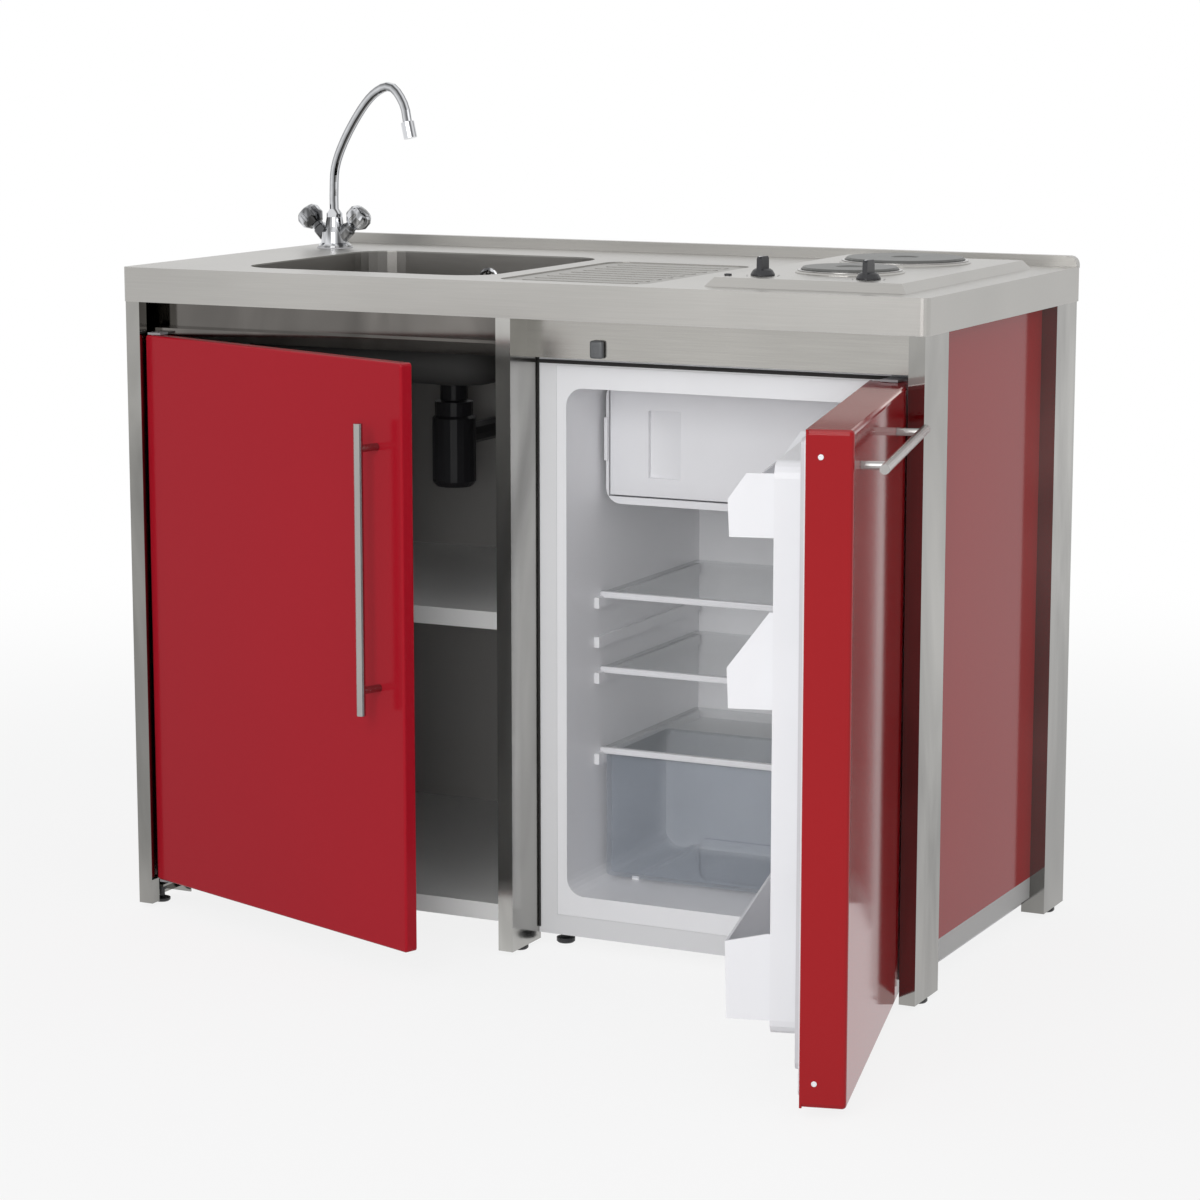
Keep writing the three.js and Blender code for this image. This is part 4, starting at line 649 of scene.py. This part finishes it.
def rods(place, ring, count, radius, length, sides, lying=False):
    # a circle of rods round a place, upright or lying along y
    x, y, z = place
    made = []
    for index in range(count):
        angle = math.tau * index / count
        first, second = ring * math.cos(angle), ring * math.sin(angle)
        centre = spot(x + first, y, z + second) if lying else spot(x + first, y + second, z)
        made.append(begin("cylinder", "tool", radius=radius * mm, depth=length * mm, vertices=sides,
                          location=centre, rotation=(math.pi / 2 if lying else 0, 0, 0)))
    return made


def about(x, y, degrees):
    # a turn round an upright line through a place
    line = Matrix.Translation(spot(x, y, 0))
    return line @ Matrix.Rotation(math.radians(degrees), 4, "Z") @ line.inverted()


# quarter turns that lay a standing disc down
toTheFront = Matrix.Rotation(math.radians(90), 4, "X")
toTheLeft = Matrix.Rotation(math.radians(-90), 4, "Y")


# fridge fittings

shelfTrim = {
    "ends": (54.3, 518.7), "front": -116, "back": -106.5, "above": 1.6, "below": 7.4,
    "edge": 1.5, "margin": 1.6, "groove": 0.7, "tops": {"Upper": 480, "Lower": 374.5, "Cover": 260},
}


def addShelfTrims(spec):
    for place, top in spec["tops"].items():
        low = (spec["ends"][0], spec["front"], top - spec["below"])
        high = (spec["ends"][1], spec["back"], top + spec["above"])
        trim = block("shelfTrim" + place, low, high, spec["edge"])
        fit(press(trim, facing(y=-1), spec["margin"], spec["groove"]), "white_plastic", "unit")


latchStrip = {"low": (60.2, -115.6, 664), "high": (65.6, -112, 724), "edge": 1.1, "margin": 0.9, "dish": 0.6}


def addLatchStrip(spec):
    strip = block("latchStrip", spec["low"], spec["high"], spec["edge"])
    fit(press(strip, facing(y=-1), spec["margin"], spec["dish"]), "white_plastic", "unit")


flap = {
    "low": (68, -112, 617), "high": (505, -102, 761.7), "edge": 1.2, "segments": 3,
    "scoop": {"low": (127, -118, 643), "high": (175, -105.4, 736), "slope": -6.2, "edge": 1.6},
    "pins": {"place": (500, -108), "feet": (615.3, 761.5), "radius": 2.5, "height": 1.9, "edge": 0.4,
             "sides": 16},
}


def addFlap(spec):
    # the freezer's flap with its slanted finger scoop, and the ends of its pins
    panel = block("flapPanel", spec["low"], spec["high"], spec["edge"], spec["segments"])
    scoop, pins = spec["scoop"], spec["pins"]
    tool = block("tool", scoop["low"], scoop["high"], scoop["edge"])
    drill(panel, [settle(tool, about(scoop["low"][0], scoop["high"][1], scoop["slope"]))])
    ends = [disc("pin", (*pins["place"], foot), pins["radius"], pins["height"], pins["edge"], pins["sides"])
            for foot in pins["feet"]]
    whole = fit(merge([panel, *ends]), "white_plastic", "freezer_flap")
    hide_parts("freezer_flap")


shadowGapStrips = {
    "edge": 0.5,
    "places": {"sideShadowStrip": ((11.4, -219.3, 24), (14, -217.9, 816)),
               "topShadowStrip": ((14, -219.3, 806.2), (524, -217.9, 811.4))},
}


def addShadowGapStrips(spec):
    # painted shade: dark strips put in the shadowed gaps between the fridge and the centre post, and under
    # the fascia
    for name, (low, high) in spec["places"].items():
        fit(block(name, low, high, spec["edge"]), "dark_felt", "unit")


addShelfTrims(shelfTrim)
addLatchStrip(latchStrip)
addFlap(flap)
addShadowGapStrips(shadowGapStrips)
print("fridge fittings made")

# fridge door

fridgeSwing = about(534, -255, 104)
doorPlug = {"end": 19.4, "y": -243.5, "heights": {"Low": 42.4, "High": 777}, "radius": 3.4, "height": 1.4,
            "edge": 0.5, "sides": 20, "margin": 1.2, "dish": 0.5}


def addDoorPlugs(spec):
    for place, z in spec["heights"].items():
        plug = button("doorPlug" + place, (spec["end"], spec["y"], z), spec, facing(x=-1), toTheLeft)
        fit(settle(plug, fridgeSwing), "white_plastic", "fridge_door")


hingeScrew = {
    "radius": 3.2, "height": 1.9, "edge": 0.7, "sides": 20, "margin": 1.0, "dish": 0.9,
    "places": {"Left": (526.5, -221, 822.5), "Right": (541.5, -221, 822.5)},
}


def addHingeScrews(spec):
    for side, place in spec["places"].items():
        fit(button("hingeScrew" + side, place, spec, facing(y=-1), toTheFront), "zinc_steel", "unit")


addDoorPlugs(doorPlug)
addHingeScrews(hingeScrew)
print("fridge door dressed")

# fascia and hob

keeper = {"low": (107.6, -257, 819), "high": (127, -249.1, 843), "edge": 3.4, "segments": 3, "margin": 2.4,
          "dish": 0.6}


def addKeeper(spec):
    piece = block("doorKeeper", spec["low"], spec["high"], spec["edge"], spec["segments"])
    fit(press(piece, facing(y=-1), spec["margin"], spec["dish"]), "dark_grey", "unit")


hobLamp = {"place": (288, -212, 931.8), "radius": 5, "height": 2.6, "edge": 0.8, "sides": 28, "margin": 1.1,
           "dish": 0.7}


def addHobLamp(spec):
    fit(button("hobLamp", spec["place"], spec, facing(z=1)), "black_plastic", "unit")


plateRim = {
    "wide": 4.2, "height": 1.5, "foot": 934.95, "edge": 0.6, "segments": 2, "steps": 64, "weld": 0.01,
    "plates": {"Large": (412, 105, 84.8), "Small": (412, -95, 67.3)},
}


def addPlateRims(spec):
    # bright rings round the hotplates, spun from a small rounded section
    for size, (x, y, radius) in spec["plates"].items():
        rim = begin("plane", "plateRim" + size, size=1)
        rim.scale = (spec["wide"] * mm, spec["height"] * mm, 1)
        settle(rim)
        settle(rim, toTheFront)
        settle(rim, Matrix.Translation(spot(x + radius, y, spec["foot"] + spec["height"] / 2)))
        choose(rim)
        bpy.ops.object.mode_set(mode="EDIT")
        bpy.ops.mesh.select_mode(type="EDGE")
        bpy.ops.mesh.select_all(action="SELECT")
        bpy.ops.mesh.bevel(offset=spec["edge"] * mm, segments=spec["segments"], affect="VERTICES")
        bpy.ops.mesh.select_all(action="SELECT")
        bpy.ops.mesh.delete(type="ONLY_FACE")
        bpy.ops.mesh.select_all(action="SELECT")
        bpy.ops.mesh.spin(steps=spec["steps"], angle=math.tau, center=spot(x, y, 0), axis=(0, 0, 1))
        bpy.ops.mesh.select_all(action="SELECT")
        bpy.ops.mesh.remove_doubles(threshold=spec["weld"] * mm)
        bpy.ops.mesh.normals_make_consistent(inside=False)
        bpy.ops.object.mode_set(mode="OBJECT")
        fit(rim, "handle_steel", "unit")


knobMark = {"knobs": {"Left": (330, -195), "Right": (478, -195)}, "wide": 1.4, "from": -12.5, "to": -3,
            "top": 957.3, "sunk": 0.3, "proud": 0.35, "edge": 0.15}


def addKnobMarks(spec):
    half = spec["wide"] / 2
    for side, (x, y) in spec["knobs"].items():
        low = (x - half, y + spec["from"], spec["top"] - spec["sunk"])
        high = (x + half, y + spec["to"], spec["top"] + spec["proud"])
        fit(block("knobMark" + side, low, high, spec["edge"]), "white_plastic", "hob_knob_" + side.lower())


knobScale = {"ring": 22, "dot": 1.1, "least": 0.7, "growth": 0.5, "rise": 0.4, "edge": 0.12, "sides": 16,
             "top": 931.9, "first": -130, "last": 130, "count": 7}


def addKnobScales(spec, knobs):
    # dots round each knob that grow with the heat
    for side, (x, y) in knobs.items():
        dots = []
        for index in range(spec["count"]):
            share = index / (spec["count"] - 1)
            angle = math.radians(-90 + spec["first"] + (spec["last"] - spec["first"]) * share)
            radius = spec["dot"] * (spec["least"] + spec["growth"] * share)
            centre = (x + spec["ring"] * math.cos(angle), y + spec["ring"] * math.sin(angle), spec["top"])
            dots.append(disc("knobScale" + side, centre, radius, spec["rise"], spec["edge"], spec["sides"]))
        fit(merge(dots), "black_plastic", "unit")


addKeeper(keeper)
addHobLamp(hobLamp)
addPlateRims(plateRim)
addKnobMarks(knobMark)
addKnobScales(knobScale, knobMark["knobs"])
print("hob dressed")

# sink and tap

bowlPads = {"z": (766.1, 768.2), "y": (-150, 20), "x": {"Left": (-415, -270), "Right": (-252, -107)},
            "edge": 0.9, "rim": 9, "rise": 0.7}


def addBowlPads(spec):
    # sheets of sound-deadening felt under the bowl
    for side, (left, right) in spec["x"].items():
        low, high = (left, spec["y"][0], spec["z"][0]), (right, spec["y"][1], spec["z"][1])
        pad = block("bowlPad" + side, low, high, spec["edge"])
        fit(press(pad, facing(z=-1), spec["rim"], spec["rise"]), "dark_felt", "unit")


bowlCoat = {"low": (-457.8, -231.8, 768.2), "high": (-64.2, 156.8, 890), "corner": 56.8, "cornerSteps": 12,
            "fillet": 32, "filletSteps": 8, "thick": 1.2, "slack": 1, "flat": 0.999}


def addBowlCoat(spec):
    # the dark coat on the outside of the bowl's walls
    slack, foot = spec["slack"] * mm, spot(*spec["low"]).z
    coat = block("bowlCoat", spec["low"], spec["high"], 0)
    hem(coat, lambda one, two: abs(one.z - two.z) > slack, spec["corner"], spec["cornerSteps"])
    hem(coat, lambda one, two: max(one.z, two.z) < foot + slack, spec["fillet"], spec["filletSteps"])
    pick(coat, lambda centre, normal: abs(normal.z) > spec["flat"])
    bpy.ops.mesh.delete(type="FACE")
    bpy.ops.object.mode_set(mode="OBJECT")
    skin = coat.modifiers.new("skin", "SOLIDIFY")
    skin.thickness = spec["thick"] * mm
    skin.offset = 1
    bpy.ops.object.modifier_apply(modifier="skin")
    fit(coat, "dark_felt", "unit")


tapCap = {"foot": 6, "height": 930, "out": 63.2, "tilt": 45, "radius": 9.5, "thick": 1.6, "edge": 0.7}


def addTapCaps(spec):
    # the ends of the two knobs, which lean out from the tap's axis
    x, y = tapFoot
    reach = spec["out"] * math.sqrt(0.5)
    for side, name in ((-1, "left"), (1, "right")):
        turn = Matrix.Rotation(math.radians(spec["tilt"] * side), 4, "Y")
        place = (x + side * (spec["foot"] + reach), y, spec["height"] + reach)
        cap = disc("tapCap" + name.title(), place, spec["radius"], spec["thick"], spec["edge"], turn=turn)
        fit(cap, "chrome", "tap_knob_" + name)


tapGasket = {"foot": 920, "radius": 27, "height": 1.2, "edge": 0.4, "sides": 40}


def addTapGasket(spec):
    ring = disc("tapGasket", (*tapFoot, spec["foot"]), spec["radius"], spec["height"], spec["edge"],
                spec["sides"])
    fit(ring, "soft_grey", "unit")


grate = {
    "place": (-261, 45, 765.6), "radius": 30.4, "height": 1.4, "edge": 0.4, "sides": 48,
    "rings": ((6, 9), (12, 17.5), (18, 25.5)), "hole": {"radius": 2.1, "length": 10, "sides": 10},
    "knob": {"radius": 5, "height": 5, "edge": 1.2, "sides": 24},
}


def addGrate(spec):
    x, y, z = spec["place"]
    plate = disc("sinkGrate", spec["place"], spec["radius"], spec["height"], spec["edge"], spec["sides"])
    tools = [rod for count, ring in spec["rings"] for rod in rods(spec["place"], ring, count, **spec["hole"])]
    fit(drill(plate, tools), "chrome", "unit")
    fit(disc("grateKnob", (x, y, z + spec["height"]), **spec["knob"]), "chrome", "unit")


overflow = {
    "place": (-261, 155.2, 885), "radius": 15, "height": 2.4, "edge": 0.8, "sides": 40,
    "ring": 8.6, "count": 8, "hole": {"radius": 2.2, "length": 12, "sides": 12},
}


def addOverflow(spec):
    plate = disc("sinkOverflow", spec["place"], spec["radius"], spec["height"], spec["edge"], spec["sides"],
                 toTheFront)
    tools = rods(spec["place"], spec["ring"], spec["count"], **spec["hole"], lying=True)
    fit(drill(plate, tools), "chrome", "unit")


addBowlPads(bowlPads)
addBowlCoat(bowlCoat)
addTapCaps(tapCap)
addTapGasket(tapGasket)
addGrate(grate)
addOverflow(overflow)
print("tap and sink dressed")

# eased edges on the solids

easing = {"smoothUnder": 32, "bevelOver": 40, "segments": 2}
easedEdges = {
    "worktop": 1.0, "fridge_door_casing": 0.7, "hob_plate": 0.8, "fridge_shell": 1.0, "freezer_box": 1.6,
    "crisper_drawer": 0.8, "rack_top": 0.9, "rack_middle": 0.9, "rack_bottom": 0.9,
    "fridge_door_inner": 2.0, "fridge_door_gasket": 1.6, "fridge_liner": 1.0, "shelf_upper": 0.8,
    "shelf_lower": 0.8, "crisper_cover": 0.8, "cupboard_shelf": 1.2, "cupboard_floor": 1.2,
    "post_front_left": 0.5, "post_front_centre": 0.5, "post_front_right": 0.5, "post_rear_left": 0.5,
    "post_rear_right": 0.5, "side_panel_left": 0.5, "side_panel_right": 0.5, "fascia_left": 0.5,
    "fascia_right": 0.5, "cupboard_handle": 0.8, "fridge_handle": 0.8, "hob_knob_left": 0.7,
    "hob_knob_right": 0.7, "tap_knob_left": 0.6, "tap_knob_right": 0.6,
}


def easeEdges(widths, spec):
    for name, node in nodes.items():
        choose(node)
        bpy.ops.object.shade_smooth_by_angle(angle=math.radians(spec["smoothUnder"]))
        if name in widths:
            edge = node.modifiers.new("edge", "BEVEL")
            edge.width = widths[name] * mm
            edge.segments = spec["segments"]
            edge.limit_method = "ANGLE"
            edge.angle_limit = math.radians(spec["bevelOver"])
            edge.harden_normals = True


easeEdges(easedEdges, easing)
print("edges eased")
